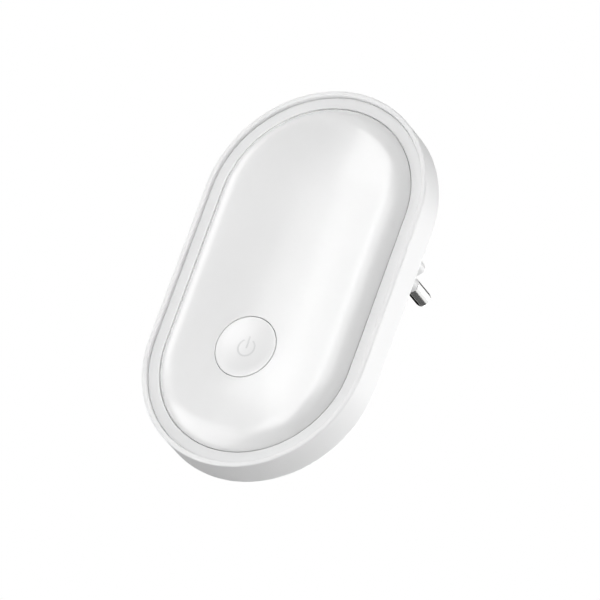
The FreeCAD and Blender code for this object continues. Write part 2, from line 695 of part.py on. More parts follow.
def make_led_board():
    """Round-ended circuit board that carries the chips and the push switch."""
    body = new_body("led_board")
    outline = new_sketch(body, "outline", height="sizes.post_height")
    stadium(outline, "sizes.board_inset")
    pad(body, outline, "sizes.board_thick")
    holes = new_sketch(body, "holes", height=BOARD_FRONT)
    for x, z in post_places():
        circle(holes, x, z, "sizes.screw_radius + sizes.screw_fit")
    for x in header_pins():
        circle(holes, x, HEADER_Z, "sizes.header_hole")
    pocket(body, holes, "sizes.board_thick")
    return body


def make_leds():
    """Twelve surface-mounted light-emitting chips around the board."""
    body = new_body("leds")
    outline = new_sketch(body, "outline", height=BOARD_FRONT)
    for x, z, turn in led_places():
        turned_box(outline, x, z, "sizes.led_width", "sizes.led_length", turn)
    pad(body, outline, "sizes.led_thick")
    return body


def make_board_screws():
    """Four small screws that hold the tray and the board to the posts."""
    body = new_body("board_screws")
    shanks = new_sketch(body, "shanks", height="sizes.screw_end")
    for x, z in post_places():
        circle(shanks, x, z, "sizes.screw_radius")
    pad(body, shanks, f"{TRAY_FRONT} - sizes.screw_end")
    heads = new_sketch(body, "heads", height=TRAY_FRONT)
    for x, z in post_places():
        circle(heads, x, z, "sizes.screw_head")
    head_pad = pad(body, heads, "sizes.screw_head_thick")
    top = number(f"-({TRAY_FRONT} + sizes.screw_head_thick)")
    fillet(body, head_pad, "sizes.screw_head_round", lambda edge: flat_at(edge, top))
    slots = new_sketch(body, "slots", height=f"{TRAY_FRONT} + sizes.screw_head_thick")
    half = "sizes.screw_slot / 2"
    end = "sizes.screw_slot_end"
    for x, z in post_places():
        box_outline(slots, f"{x} - {half}", f"{x} + {half}", f"{z} - {end}", f"{z} + {end}")
    pocket(body, slots, "sizes.screw_slot")
    return body


def make_insulating_sheet():
    """Thin sheet between the mains side and the light board."""
    body = new_body("insulating_sheet")
    outline = new_sketch(body, "outline", height="sizes.post_height - sizes.sheet_thick")
    stadium(outline, "sizes.board_inset")
    pad(body, outline, "sizes.sheet_thick")
    holes = new_sketch(body, "holes", height="sizes.post_height")
    for x, z in post_places():
        circle(holes, x, z, "sizes.post_radius + sizes.sheet_fit")
    side = "(2 * sizes.header_pitch + sizes.sheet_fit)"
    end = "(sizes.header_side / 2 + sizes.sheet_fit)"
    box_outline(holes, f"-{side}", side, f"{HEADER_Z} - {end}", f"{HEADER_Z} + {end}")
    pocket(body, holes, "sizes.sheet_thick")
    return body


def make_tact_switch_base():
    """Body of the push switch on the board."""
    body = new_body("tact_switch_base")
    outline = new_sketch(body, "outline", height=BOARD_FRONT)
    turned_box(outline, "0", BUTTON_Z, "sizes.switch_side", "sizes.switch_side", 0)
    pad(body, outline, "sizes.switch_height")
    bore = new_sketch(body, "bore", height=f"{BOARD_FRONT} + sizes.switch_height")
    circle(bore, "0", BUTTON_Z, "sizes.plunger_bore")
    pocket(body, bore, "sizes.plunger_well")
    return body


def make_tact_switch_cover():
    """Steel cover plate of the push switch."""
    body = new_body("tact_switch_cover")
    outline = new_sketch(body, "outline", height=f"{BOARD_FRONT} + sizes.switch_height")
    turned_box(outline, "0", BUTTON_Z, "sizes.switch_side", "sizes.switch_side", 0)
    circle(outline, "0", BUTTON_Z, "sizes.plunger_bore")
    pad(body, outline, "sizes.switch_cover")
    return body


def make_tact_switch_plunger():
    """Plunger of the push switch, moved by the button's stem."""
    body = new_body("tact_switch_plunger")
    outline = new_sketch(body, "outline", height=f"{BOARD_FRONT} + sizes.switch_top - sizes.plunger_length")
    circle(outline, "0", BUTTON_Z, "sizes.plunger_radius")
    pin = pad(body, outline, "sizes.plunger_length")
    top = number(f"-({BOARD_FRONT} + sizes.switch_top)")
    fillet(body, pin, "sizes.plunger_round", lambda edge: flat_at(edge, top))
    return body


def make_pin_carrier():
    """Block inside the end of the boss that clamps both pins by their collars."""
    body = new_body("pin_carrier", at_plug=True)
    face = "sizes.plug_end_wall"
    outline = new_sketch(body, "outline", height=face)
    plug_outline(outline, "(sizes.plug_wall + sizes.carrier_fit)")
    pad(body, outline, "sizes.carrier_thick")
    seats = new_sketch(body, "collar_seats", height=face)
    tails = new_sketch(body, "tail_holes", height=face)
    for side in ("", "-"):
        circle(seats, f"{side}sizes.pin_spacing / 2", "0", "sizes.pin_collar + sizes.close_fit")
        circle(tails, f"{side}sizes.pin_spacing / 2", "0", "sizes.pin_core + sizes.close_fit")
    pocket(body, seats, "sizes.collar_thick", forwards=True)
    pocket(body, tails, "sizes.carrier_thick", forwards=True)
    return body


def make_plug_pin(label, side):
    """Round plug pin: bare rounded end, thinner core under the sleeve, collar and solder tail inside."""
    body = new_body(label, at_plug=True)
    body.setExpression(".Placement.Base.x", f"{side} * sizes.pin_spacing / 2")
    section = new_sketch(body, "section", plane="XY_Plane")
    tip_start = "(sizes.pin_length - sizes.pin_tip)"
    flat = "(sizes.pin_radius - sizes.pin_tip)"
    collar_front = "-sizes.plug_end_wall"
    collar_back = "-(sizes.plug_end_wall + sizes.collar_thick)"
    loop(section, [
        ("0", "sizes.pin_length"), ("0", "-sizes.pin_tail"), ("sizes.pin_core", "-sizes.pin_tail"),
        ("sizes.pin_core", collar_back), ("sizes.pin_collar", collar_back), ("sizes.pin_collar", collar_front),
        ("sizes.pin_core", collar_front), ("sizes.pin_core", "sizes.sleeve_length"),
        ("sizes.pin_radius", "sizes.sleeve_length"), ("sizes.pin_radius", tip_start),
        (flat, "sizes.pin_length"),
    ], {9: ("y", tip_start, True)})
    revolve(body, section)
    return body


def make_pin_sleeve(label, side):
    """Insulating sleeve around the inner half of a pin."""
    body = new_body(label, at_plug=True)
    body.setExpression(".Placement.Base.x", f"{side} * sizes.pin_spacing / 2")
    section = new_sketch(body, "section", plane="XY_Plane")
    low = "-sizes.plug_end_wall"
    box_outline(section, "sizes.pin_core", "sizes.sleeve_radius", low, "sizes.sleeve_length")
    revolve(body, section)
    return body


def header_pins():
    """The four header pins, across the board."""
    return [f"{step} * sizes.header_pitch" for step in (-1.5, -0.5, 0.5, 1.5)]


def make_driver_board():
    """Mains board that lies in the boss, below the pins."""
    body = new_body("driver_board", at_plug=True)
    outline = new_sketch(body, "outline", plane="XY_Plane", height=f"{DRIVER_TOP} - sizes.driver_thick")
    front = "-(sizes.boss_depth + sizes.driver_front)"
    half = "sizes.driver_width / 2"
    box_outline(outline, f"-{half}", half, front, "-sizes.driver_rear")
    pad(body, outline, "sizes.driver_thick")
    return body


def make_block(label, name):
    """A boxed component on top of the driver board, its upper edges rounded."""
    body = new_body(label, at_plug=True)
    outline = new_sketch(body, "outline", plane="XY_Plane", height=DRIVER_TOP)
    turned_box(outline, f"sizes.{name}_x", f"sizes.{name}_y", f"sizes.{name}_width", f"sizes.{name}_length", 0)
    block = pad(body, outline, f"sizes.{name}_height")
    top = number(f"{DRIVER_TOP} + sizes.{name}_height")
    fillet(body, block, f"sizes.{name}_round", lambda edge: abs(edge.BoundBox.ZMin - top) < SAME)
    return body


def make_electrolytic_capacitor():
    """Can of the smoothing capacitor, lying along the boss, with its crimp."""
    body = new_body("electrolytic_capacitor", at_plug=True)
    body.setExpression(".Placement.Base.x", "sizes.can_x")
    body.setExpression(".Placement.Base.y", "sizes.can_front")
    body.setExpression(".Placement.Base.z", f"{DRIVER_TOP} + sizes.can_gap + sizes.can_radius")
    section = new_sketch(body, "section", plane="XY_Plane")
    wall = "sizes.can_radius"
    end = "(sizes.can_radius - sizes.can_edge)"
    crimp = "(sizes.can_radius - sizes.crimp_depth)"
    loop(section, [
        ("0", "sizes.can_length"), ("0", "0"), (end, "0"), (wall, "sizes.can_edge"),
        (wall, "sizes.crimp_start"), (crimp, "sizes.crimp_start + sizes.crimp_step"),
        (crimp, "sizes.crimp_start + 2 * sizes.crimp_step"), (wall, "sizes.crimp_start + 3 * sizes.crimp_step"),
        (wall, "sizes.can_length - sizes.can_edge"), (end, "sizes.can_length"),
    ])
    revolve(body, section)
    return body


def make_resistor(label, name):
    """A resistor with its two legs, lying across the driver board."""
    body = new_body(label, at_plug=True)
    half_length = f"sizes.{name}_length / 2"
    rise = f"(sizes.{name}_radius + sizes.barrel_gap)"
    body.setExpression(".Placement.Base.x", f"sizes.{name}_x")
    body.setExpression(".Placement.Base.y", f"sizes.{name}_y")
    body.setExpression(".Placement.Base.z", f"{DRIVER_TOP} + {rise}")
    barrel = new_sketch(body, "barrel", plane="YZ_Plane", height=f"-{half_length}")
    circle(barrel, "0", "0", f"sizes.{name}_radius")
    barrel_pad = pad(body, barrel, f"sizes.{name}_length")
    half = number(half_length)
    fillet(body, barrel_pad, "sizes.barrel_round", lambda edge: abs(abs(edge.BoundBox.XMin) - half) < SAME)
    legs = new_sketch(body, "legs", plane="YZ_Plane", height=f"-{half_length} - sizes.leg_reach")
    circle(legs, "0", "0", "sizes.leg_radius")
    pad(body, legs, f"sizes.{name}_length + 2 * sizes.leg_reach")
    feet = new_sketch(body, "feet", plane="XY_Plane", height=f"-{rise}")
    for side in ("", "-"):
        circle(feet, f"{side}({half_length} + sizes.leg_reach - sizes.leg_radius)", "0", "sizes.leg_radius")
    pad(body, feet, rise)
    return body


def make_board_header():
    """Four-way pin header that joins the driver board to the light board."""
    body = new_body("board_header", at_plug=True)
    front = "-(sizes.boss_depth + sizes.driver_front)"
    strip = new_sketch(body, "strip", plane="XY_Plane", height=DRIVER_TOP)
    half_side = "sizes.header_side / 2"
    end = "2 * sizes.header_pitch"
    box_outline(strip, f"-{end}", end, front, f"{front} + sizes.header_side")
    pad(body, strip, "sizes.header_side")
    pins = new_sketch(body, "pins", height=f"sizes.boss_depth + sizes.driver_front - {half_side}")
    for x in header_pins():
        turned_box(pins, x, f"({DRIVER_TOP} + {half_side})", "sizes.header_pin", "sizes.header_pin", 0)
    pad(body, pins, f"{BOARD_FRONT} - sizes.driver_front + {half_side}")
    return body


def make_lead(label, side):
    """Short mains lead from a pin's tail, bent down into the driver board."""
    body = new_body(label, at_plug=True)
    body.setExpression(".Placement.Base.x", f"{side} * sizes.pin_spacing / 2")
    start = "-(sizes.pin_tail)"
    bend_start = f"({start} - sizes.wire_start)"
    bend_end_y = f"({bend_start} - sizes.wire_bend)"
    path = new_sketch(body, "path", plane="YZ_Plane")
    first = Part.LineSegment(
        FreeCAD.Vector(number(start), 0, 0), FreeCAD.Vector(number(bend_start), 0, 0)
    )
    bend = Part.Circle()
    bend.Center = FreeCAD.Vector(number(bend_start), number("-sizes.wire_bend"), 0)
    bend.Radius = number("sizes.wire_bend")
    corner = Part.ArcOfCircle(bend, math.pi / 2, math.pi)
    last = Part.LineSegment(
        FreeCAD.Vector(number(bend_end_y), number("-sizes.wire_bend"), 0),
        FreeCAD.Vector(number(bend_end_y), number(DRIVER_TOP), 0),
    )
    for piece in (first, corner, last):
        path.addGeometry(piece, False)
    path.addConstraint(Sketcher.Constraint("Coincident", 0, 2, 1, 1))
    path.addConstraint(Sketcher.Constraint("Coincident", 1, 2, 2, 1))
    pin_point(path, 0, 1, "x", start)
    pin_point(path, 0, 1, "y", "0")
    pin_point(path, 0, 2, "x", bend_start)
    pin_point(path, 0, 2, "y", "0")
    pin_point(path, 2, 1, "x", bend_end_y)
    pin_point(path, 2, 1, "y", "-sizes.wire_bend")
    pin_point(path, 2, 2, "x", bend_end_y)
    pin_point(path, 2, 2, "y", DRIVER_TOP)
    pin_point(path, 1, 3, "y", "-sizes.wire_bend")
    section = new_sketch(body, "section", height="sizes.pin_tail")
    circle(section, "0", "0", "sizes.wire_radius")
    sweep = body.newObject("PartDesign::AdditivePipe", f"{label}_sweep")
    sweep.Profile = section
    sweep.Spine = path
    doc.recompute()
    return body


def check_and_export(bodies):
    """Stop at a failed feature or a bad solid, then write one file for each sub-part."""
    doc.recompute()
    for item in doc.Objects:
        if "Invalid" in item.State or "Error" in item.State:
            raise RuntimeError(f"{item.Name} failed: {item.State}")
    for item in doc.Objects:
        if item.TypeId == "Sketcher::SketchObject" and item.solve() != 0:
            raise RuntimeError(f"{item.Name} does not solve")
    os.makedirs("parts", exist_ok=True)
    for body in bodies:
        shape = body.Shape
        if shape.isNull() or not shape.isValid() or not shape.Solids:
            raise RuntimeError(f"{body.Label} has no valid solid")
        box = shape.BoundBox
        print(
            f"{body.Label:24s} solids {len(shape.Solids):2d}  volume {shape.Volume:9.1f}"
            f"  x {box.XMin:7.2f} {box.XMax:7.2f}  y {box.YMin:7.2f} {box.YMax:7.2f}"
            f"  z {box.ZMin:7.2f} {box.ZMax:7.2f}"
        )
        shape.exportStep(f"parts/{body.Label}.step")


fill_sheet()
check_and_export([
    make_rear_housing(),
    make_halo_ring(),
    make_diffuser_dome(),
    make_power_button(),
    make_power_symbol(),
    make_reflector_tray(),
    make_led_board(),
    make_leds(),
    make_board_screws(),
    make_insulating_sheet(),
    make_tact_switch_base(),
    make_tact_switch_cover(),
    make_tact_switch_plunger(),
    make_pin_carrier(),
    make_plug_pin("plug_pin_left", -1),
    make_plug_pin("plug_pin_right", 1),
    make_pin_sleeve("pin_sleeve_left", -1),
    make_pin_sleeve("pin_sleeve_right", 1),
    make_driver_board(),
    make_block("film_capacitor", "film"),
    make_block("bridge_rectifier", "bridge"),
    make_block("control_chip", "chip"),
    make_electrolytic_capacitor(),
    make_resistor("fusible_resistor", "fusible"),
    make_resistor("bleed_resistor", "bleed"),
    make_board_header(),
    make_lead("lead_live", 1),
    make_lead("lead_neutral", -1),
])
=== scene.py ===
"""Looks of the plug in night light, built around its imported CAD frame."""

import math

import bmesh
import bpy
from mathutils import Matrix, Vector


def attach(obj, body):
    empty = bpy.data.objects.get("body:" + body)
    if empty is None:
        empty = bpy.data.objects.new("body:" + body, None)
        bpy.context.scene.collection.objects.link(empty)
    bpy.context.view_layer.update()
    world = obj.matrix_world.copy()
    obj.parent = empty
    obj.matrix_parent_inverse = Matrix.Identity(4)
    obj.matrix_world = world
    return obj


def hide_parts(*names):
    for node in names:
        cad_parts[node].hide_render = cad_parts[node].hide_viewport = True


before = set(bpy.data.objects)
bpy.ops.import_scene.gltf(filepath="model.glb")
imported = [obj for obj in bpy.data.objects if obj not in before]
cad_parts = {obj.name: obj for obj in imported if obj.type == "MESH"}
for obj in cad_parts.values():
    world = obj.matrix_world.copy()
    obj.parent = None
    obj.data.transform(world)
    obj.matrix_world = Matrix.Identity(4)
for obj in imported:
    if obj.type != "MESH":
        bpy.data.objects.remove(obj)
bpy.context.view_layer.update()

scene = bpy.context.scene
scene.view_settings.view_transform = "Standard"

# Camera
# The product photograph looks up at the lamp from below and from its right, almost without perspective, and
# the lamp leans about 20 degrees clockwise in the frame.


def new_object(name, data):
    """An object in the scene, with its data."""
    obj = bpy.data.objects.new(name, data)
    scene.collection.objects.link(obj)
    return obj


camera_place = Vector((0.91518, -1.56367, -0.65947))
camera_forward = Vector((-0.48072, 0.81025, 0.33527)).normalized()
picture_up = Vector((-0.13427, -0.44585, 0.88498))
camera_right = camera_forward.cross(picture_up).normalized()
camera_up = camera_right.cross(camera_forward)
camera_data = bpy.data.cameras.new("photo_camera")
camera_data.lens = 480
camera_data.sensor_width = 36
camera_data.clip_start = 0.1
camera_data.clip_end = 20
camera = new_object("photo_camera", camera_data)
camera_turn = Matrix((camera_right, camera_up, -camera_forward)).transposed()
camera.matrix_world = Matrix.Translation(camera_place) @ camera_turn.to_4x4()
scene.camera = camera

# Studio
# A white room with a pale floor below the lamp. The room is pure white behind the lamp and in its gloss, and
# softboxes give the form. A black and a grey card behind the lamp darken the edges of the metal, and a grey
# card at the front left draws the dome's soft dark band.
room_light = 0.02
floor_height = -0.95
floor_width = 6.0
floor_colour = 0.8
floor_whiteness = 0.95
card_back = 0.83
card_colour = 0.01
lamp_middle = Vector((0, -0.0295, -0.0205))


def link(tree, source, target):
    """Join two sockets of a node tree."""
    tree.links.new(source, target)


def math_node(tree, operation, first, second=None, third=None):
    """A maths node; each value is a number or another node's socket. Returns its result."""
    node = tree.nodes.new("ShaderNodeMath")
    node.operation = operation
    for index, value in enumerate((first, second, third)):
        if value is None:
            continue
        if isinstance(value, (int, float)):
            node.inputs[index].default_value = value
        else:
            link(tree, value, node.inputs[index])
    return node.outputs[0]


def add_node(tree, kind, settings=None, **sources):
    """A node with its settings, and with inputs joined to sockets or set to values. Returns its result."""
    node = tree.nodes.new(kind)
    for name, value in (settings or {}).items():
        setattr(node, name, value)
    for name, source in sources.items():
        socket = [item for item in node.inputs if item.enabled and item.name == name.replace("_", " ")][0]
        if isinstance(source, bpy.types.NodeSocket):
            link(tree, source, socket)
        else:
            socket.default_value = source
    return [item for item in node.outputs if item.enabled][0]


def seen_or_reflected(tree):
    """1 for what the camera, gloss and glass show, and 0 for light that falls on things."""
    light_path = tree.nodes.new("ShaderNodeLightPath")
    value = light_path.outputs["Is Camera Ray"]
    for ray in ("Is Glossy Ray", "Is Transmission Ray"):
        value = math_node(tree, "MAXIMUM", value, light_path.outputs[ray])
    return value


def make_white_room():
    """The world: white where it is seen or reflected, and room_light where it falls on things."""
    world = bpy.data.worlds.new("white_studio")
    world.use_nodes = True
    tree = world.node_tree
    background = tree.nodes["Background"]
    background.inputs["Color"].default_value = (1, 1, 1, 1)
    strength = add_node(
        tree, "ShaderNodeMapRange", Value=seen_or_reflected(tree), To_Min=room_light, To_Max=1.0
    )
    link(tree, strength, background.inputs["Strength"])
    scene.world = world


def make_stage_plane(name, corners, colour, whiteness):
    """A flat stage surface; whiteness is the share of plain white that it shows over its own colour."""
    data = bpy.data.meshes.new(name)
    data.from_pydata(corners, [], [(0, 1, 2, 3)])
    material = bpy.data.materials.new(name)
    material.use_nodes = True
    tree = material.node_tree
    tree.nodes.remove(tree.nodes["Principled BSDF"])
    matt = add_node(tree, "ShaderNodeBsdfDiffuse", Color=(colour, colour, colour, 1))
    white = add_node(tree, "ShaderNodeEmission")
    share = math_node(tree, "MULTIPLY", seen_or_reflected(tree), whiteness)
    mix = tree.nodes.new("ShaderNodeMixShader")
    for source, socket in zip((share, matt, white), mix.inputs):
        link(tree, source, socket)
    link(tree, mix.outputs[0], tree.nodes["Material Output"].inputs["Surface"])
    data.materials.append(material)
    plane = new_object(name, data)
    return plane


def place_softbox(name, towards, distance, width, power):
    """A square softbox that faces the lamp's middle from one direction."""
    data = bpy.data.lights.new(name, "AREA")
    data.shape = "SQUARE"
    data.size = width
    data.energy = power
    softbox = new_object(name, data)
    direction = Vector(towards).normalized()
    turn = direction.to_track_quat("Z", "Y").to_matrix().to_4x4()
    softbox.matrix_world = Matrix.Translation(lamp_middle + direction * distance) @ turn


make_white_room()
reach = floor_width / 2
floor_corners = [(-reach, -reach), (reach, -reach), (reach, reach), (-reach, reach)]
make_stage_plane(
    "pale_floor", [(x, y, floor_height) for x, y in floor_corners], floor_colour, floor_whiteness
)
black_corners = [(0.22, 0.9), (-0.95, 0.9), (-0.95, -0.9), (-0.66, -0.9)]
grey_corners = [(0.8, -0.4), (-0.414, -0.4), (-0.66, -0.9), (0.8, -0.9)]
front_corners = [(-0.66, -1.06, -0.5), (-1.15, -0.52, -0.5), (-1.15, -0.52, 1.3), (-0.66, -1.06, 1.3)]
for name, corners, whiteness in (
    ("black_card", [(x, card_back, z) for x, z in black_corners], 0.0),
    ("grey_card", [(x, card_back, z) for x, z in grey_corners], 0.11),
    ("front_card", front_corners, 0.5),
):
    card = make_stage_plane(name, corners, card_colour, whiteness)
    card.visible_camera = False
for name, towards, distance, width, power in (
    ("front_right_softbox", (0.40, -0.88, 0.25), 1.0, 0.6, 1.58),
    ("front_softbox", (0.05, -0.99, 0.12), 1.0, 0.6, 1.95),
    ("front_left_softbox", (-0.3, -0.92, 0.15), 1.0, 0.4, 0.82),
    ("low_softbox", (0.1, -0.9, -0.4), 1.0, 0.5, 1.95),
    ("high_softbox", (0.0, -0.74, 0.66), 1.0, 0.6, 2.7),
    ("left_softbox", (-0.93, -0.1, 0.34), 1.0, 0.5, 0.66),
    ("under_left_softbox", (-0.6, -0.34, -0.72), 1.0, 1.3, 6.9),
    ("right_back_softbox", (0.9, 0.4, 0.0), 1.0, 0.6, 7.3),
    ("back_softbox", (0.55, 0.78, 0.3), 1.0, 0.4, 1.4),
    ("rear_softbox", (0.0, 1.0, 0.05), 0.75, 0.45, 2.2),
):
    place_softbox(name, towards, distance, width, power)

# Housing
# One white ABS moulding: flat back, straight side wall with a thin rounded lip, and the boss that carries the
# plug's pins. Its surface is satin, with the fine even grain that a spark-eroded mould leaves.


def new_group(name, kind, inputs, outputs):
    """A node group, with its inputs and outputs from inside it.

    The inputs are given as (name, kind of socket, value) and the outputs as (name, kind of socket).
    """
    group = bpy.data.node_groups.new(name, kind)
    for socket_name, socket_kind, value in inputs:
        socket = group.interface.new_socket(
            socket_name, in_out="INPUT", socket_type=f"NodeSocket{socket_kind}"
        )
        if value is not None:
            socket.default_value = value
    for socket_name, socket_kind in outputs:
        group.interface.new_socket(socket_name, in_out="OUTPUT", socket_type=f"NodeSocket{socket_kind}")
    given = group.nodes.new("NodeGroupInput").outputs
    result = group.nodes.new("NodeGroupOutput").inputs
    return group, given, result


def new_surface_group(name, inputs):
    """A shader group for a surface: its height, its roughness and a mask of broad patches."""
    return new_group(
        name, "ShaderNodeTree", [("Vector", "Vector", None), *inputs],
        [("Height", "Float"), ("Roughness", "Float"), ("Patches", "Float")],
    )


def put_out_surface(group, given, result, height, swinging, patches):
    """Join a surface group's results; its roughness swings about the given one with a texture."""
    swing = math_node(group, "MULTIPLY_ADD", swinging, 2.0, -1.0)
    roughness = math_node(group, "MULTIPLY_ADD", swing, given["Roughness spread"], given["Roughness"])
    link(group, height, result["Height"])
    link(group, roughness, result["Roughness"])
    link(group, patches, result["Patches"])


def make_moulded_grain():
    """Grain of moulded plastic: a fine even texture, with broad patches that are a little glossier."""
    group, given, result = new_surface_group("moulded_grain", [
        ("Grain per metre", "Float", 4000.0),
        ("Patches per metre", "Float", 90.0),
        ("Roughness", "Float", 0.4),
        ("Roughness spread", "Float", 0.05),
    ])
    grain = add_node(
        group, "ShaderNodeTexNoise", Vector=given["Vector"], Scale=given["Grain per metre"], Detail=2.0
    )
    patches = add_node(
        group, "ShaderNodeTexNoise", Vector=given["Vector"], Scale=given["Patches per metre"], Detail=3.0
    )
    put_out_surface(group, given, result, grain, patches, patches)
    return group


moulded_grain = make_moulded_grain()


def shader_input(material, name):
    """A socket of a material's main shader."""
    return material.node_tree.nodes["Principled BSDF"].inputs[name]


def new_material(name, **settings):
    """A material with its main shader set; each setting is a socket's name with _ for a space."""
    material = bpy.data.materials.new(name)
    material.use_nodes = True
    for socket_name, value in settings.items():
        shader_input(material, socket_name.replace("_", " ")).default_value = value
    return material


def own_coordinates(tree):
    """The piece's own coordinates, in metres."""
    return tree.nodes.new("ShaderNodeTexCoord").outputs["Object"]


def lay_surface(material, group, **values):
    """Put a surface group in a material, where it sets the roughness. Returns the group's results."""
    tree = material.node_tree
    surface = add_node(
        tree, "ShaderNodeGroup", {"node_tree": group}, Vector=own_coordinates(tree), **values
    ).node.outputs
    link(tree, surface["Roughness"], shader_input(material, "Roughness"))
    return surface


def add_bump(material, height, distance, strength):
    """Raise the surface by a height, in metres at full strength."""
    bump = add_node(
        material.node_tree, "ShaderNodeBump", Height=height, Distance=distance, Strength=strength
    )
    link(material.node_tree, bump, shader_input(material, "Normal"))


def tint(material, mask, low, high):
    """Colour a material between two colours by a mask."""
    mask_ends = (0.3, 0.7)
    ramp = material.node_tree.nodes.new("ShaderNodeValToRGB")
    for element, position, colour in zip(ramp.color_ramp.elements, mask_ends, (low, high)):
        element.position = position
        element.color = (*colour, 1)
    link(material.node_tree, mask, ramp.inputs["Fac"])
    link(material.node_tree, ramp.outputs["Color"], shader_input(material, "Base Color"))


def moulded_plastic(name, low, high, roughness, spread, grain, depth, **settings):
    """Moulded plastic with its grain, gloss patches and a slight drift of colour.

    The grain is counted per metre, and its depth is in metres.
    """
    material = new_material(name, **settings)
    surface = lay_surface(
        material, moulded_grain, Grain_per_metre=grain, Roughness=roughness, Roughness_spread=spread
    )
    add_bump(material, surface["Height"], depth, strength=0.5)
    tint(material, surface["Patches"], low, high)
    return material


def dress(node, material):
    """Give a CAD node its material."""
    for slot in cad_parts[node].material_slots:
        slot.material = material


dress("rear_housing", moulded_plastic(
    "housing_abs", (0.855, 0.856, 0.858), (0.87, 0.87, 0.87),
    roughness=0.42, spread=0.05, grain=5000, depth=0.00001, IOR=1.52,
))

# Halo ring
# A flat ring of milky acrylic between the housing's lip and the dome. It laps over the dome's flange, and
# glows round the dome when the lamp is lit.
half_straight = 0.02075
back_y = -0.0228
middle_z = -0.0205
crown_middle = -0.05583
crown_radius = 0.07088
button_drop = 0.0213
weld_gap = 1e-7


def new_geometry_tree(name, inputs):
    """A geometry tree that takes and returns a mesh; inputs are (name, kind, value)."""
    mesh_kind = ("Geometry", "Geometry")
    return new_group(name, "GeometryNodeTree", [(*mesh_kind, None), *inputs], [mesh_kind])


def put_out_mesh(tree, result, geometry, material):
    """End a geometry tree: real faces in one material."""
    real = add_node(tree, "GeometryNodeRealizeInstances", Geometry=geometry)
    coated = add_node(tree, "GeometryNodeSetMaterial", Geometry=real, Material=material)
    link(tree, coated, result["Geometry"])


def vector_node(tree, operation, *values):
    """A vector maths node on other nodes' sockets. Returns its result."""
    node = tree.nodes.new("ShaderNodeVectorMath")
    node.operation = operation
    for value, socket in zip(values, node.inputs):
        link(tree, value, socket)
    return node.outputs[0]


def point_value(tree, name):
    """A number that a mesh's points carry."""
    return add_node(tree, "GeometryNodeInputNamedAttribute", Name=name)


def split(tree, vector):
    """The three coordinates of a vector."""
    node = tree.nodes.new("ShaderNodeSeparateXYZ")
    link(tree, vector, node.inputs[0])
    return node.outputs


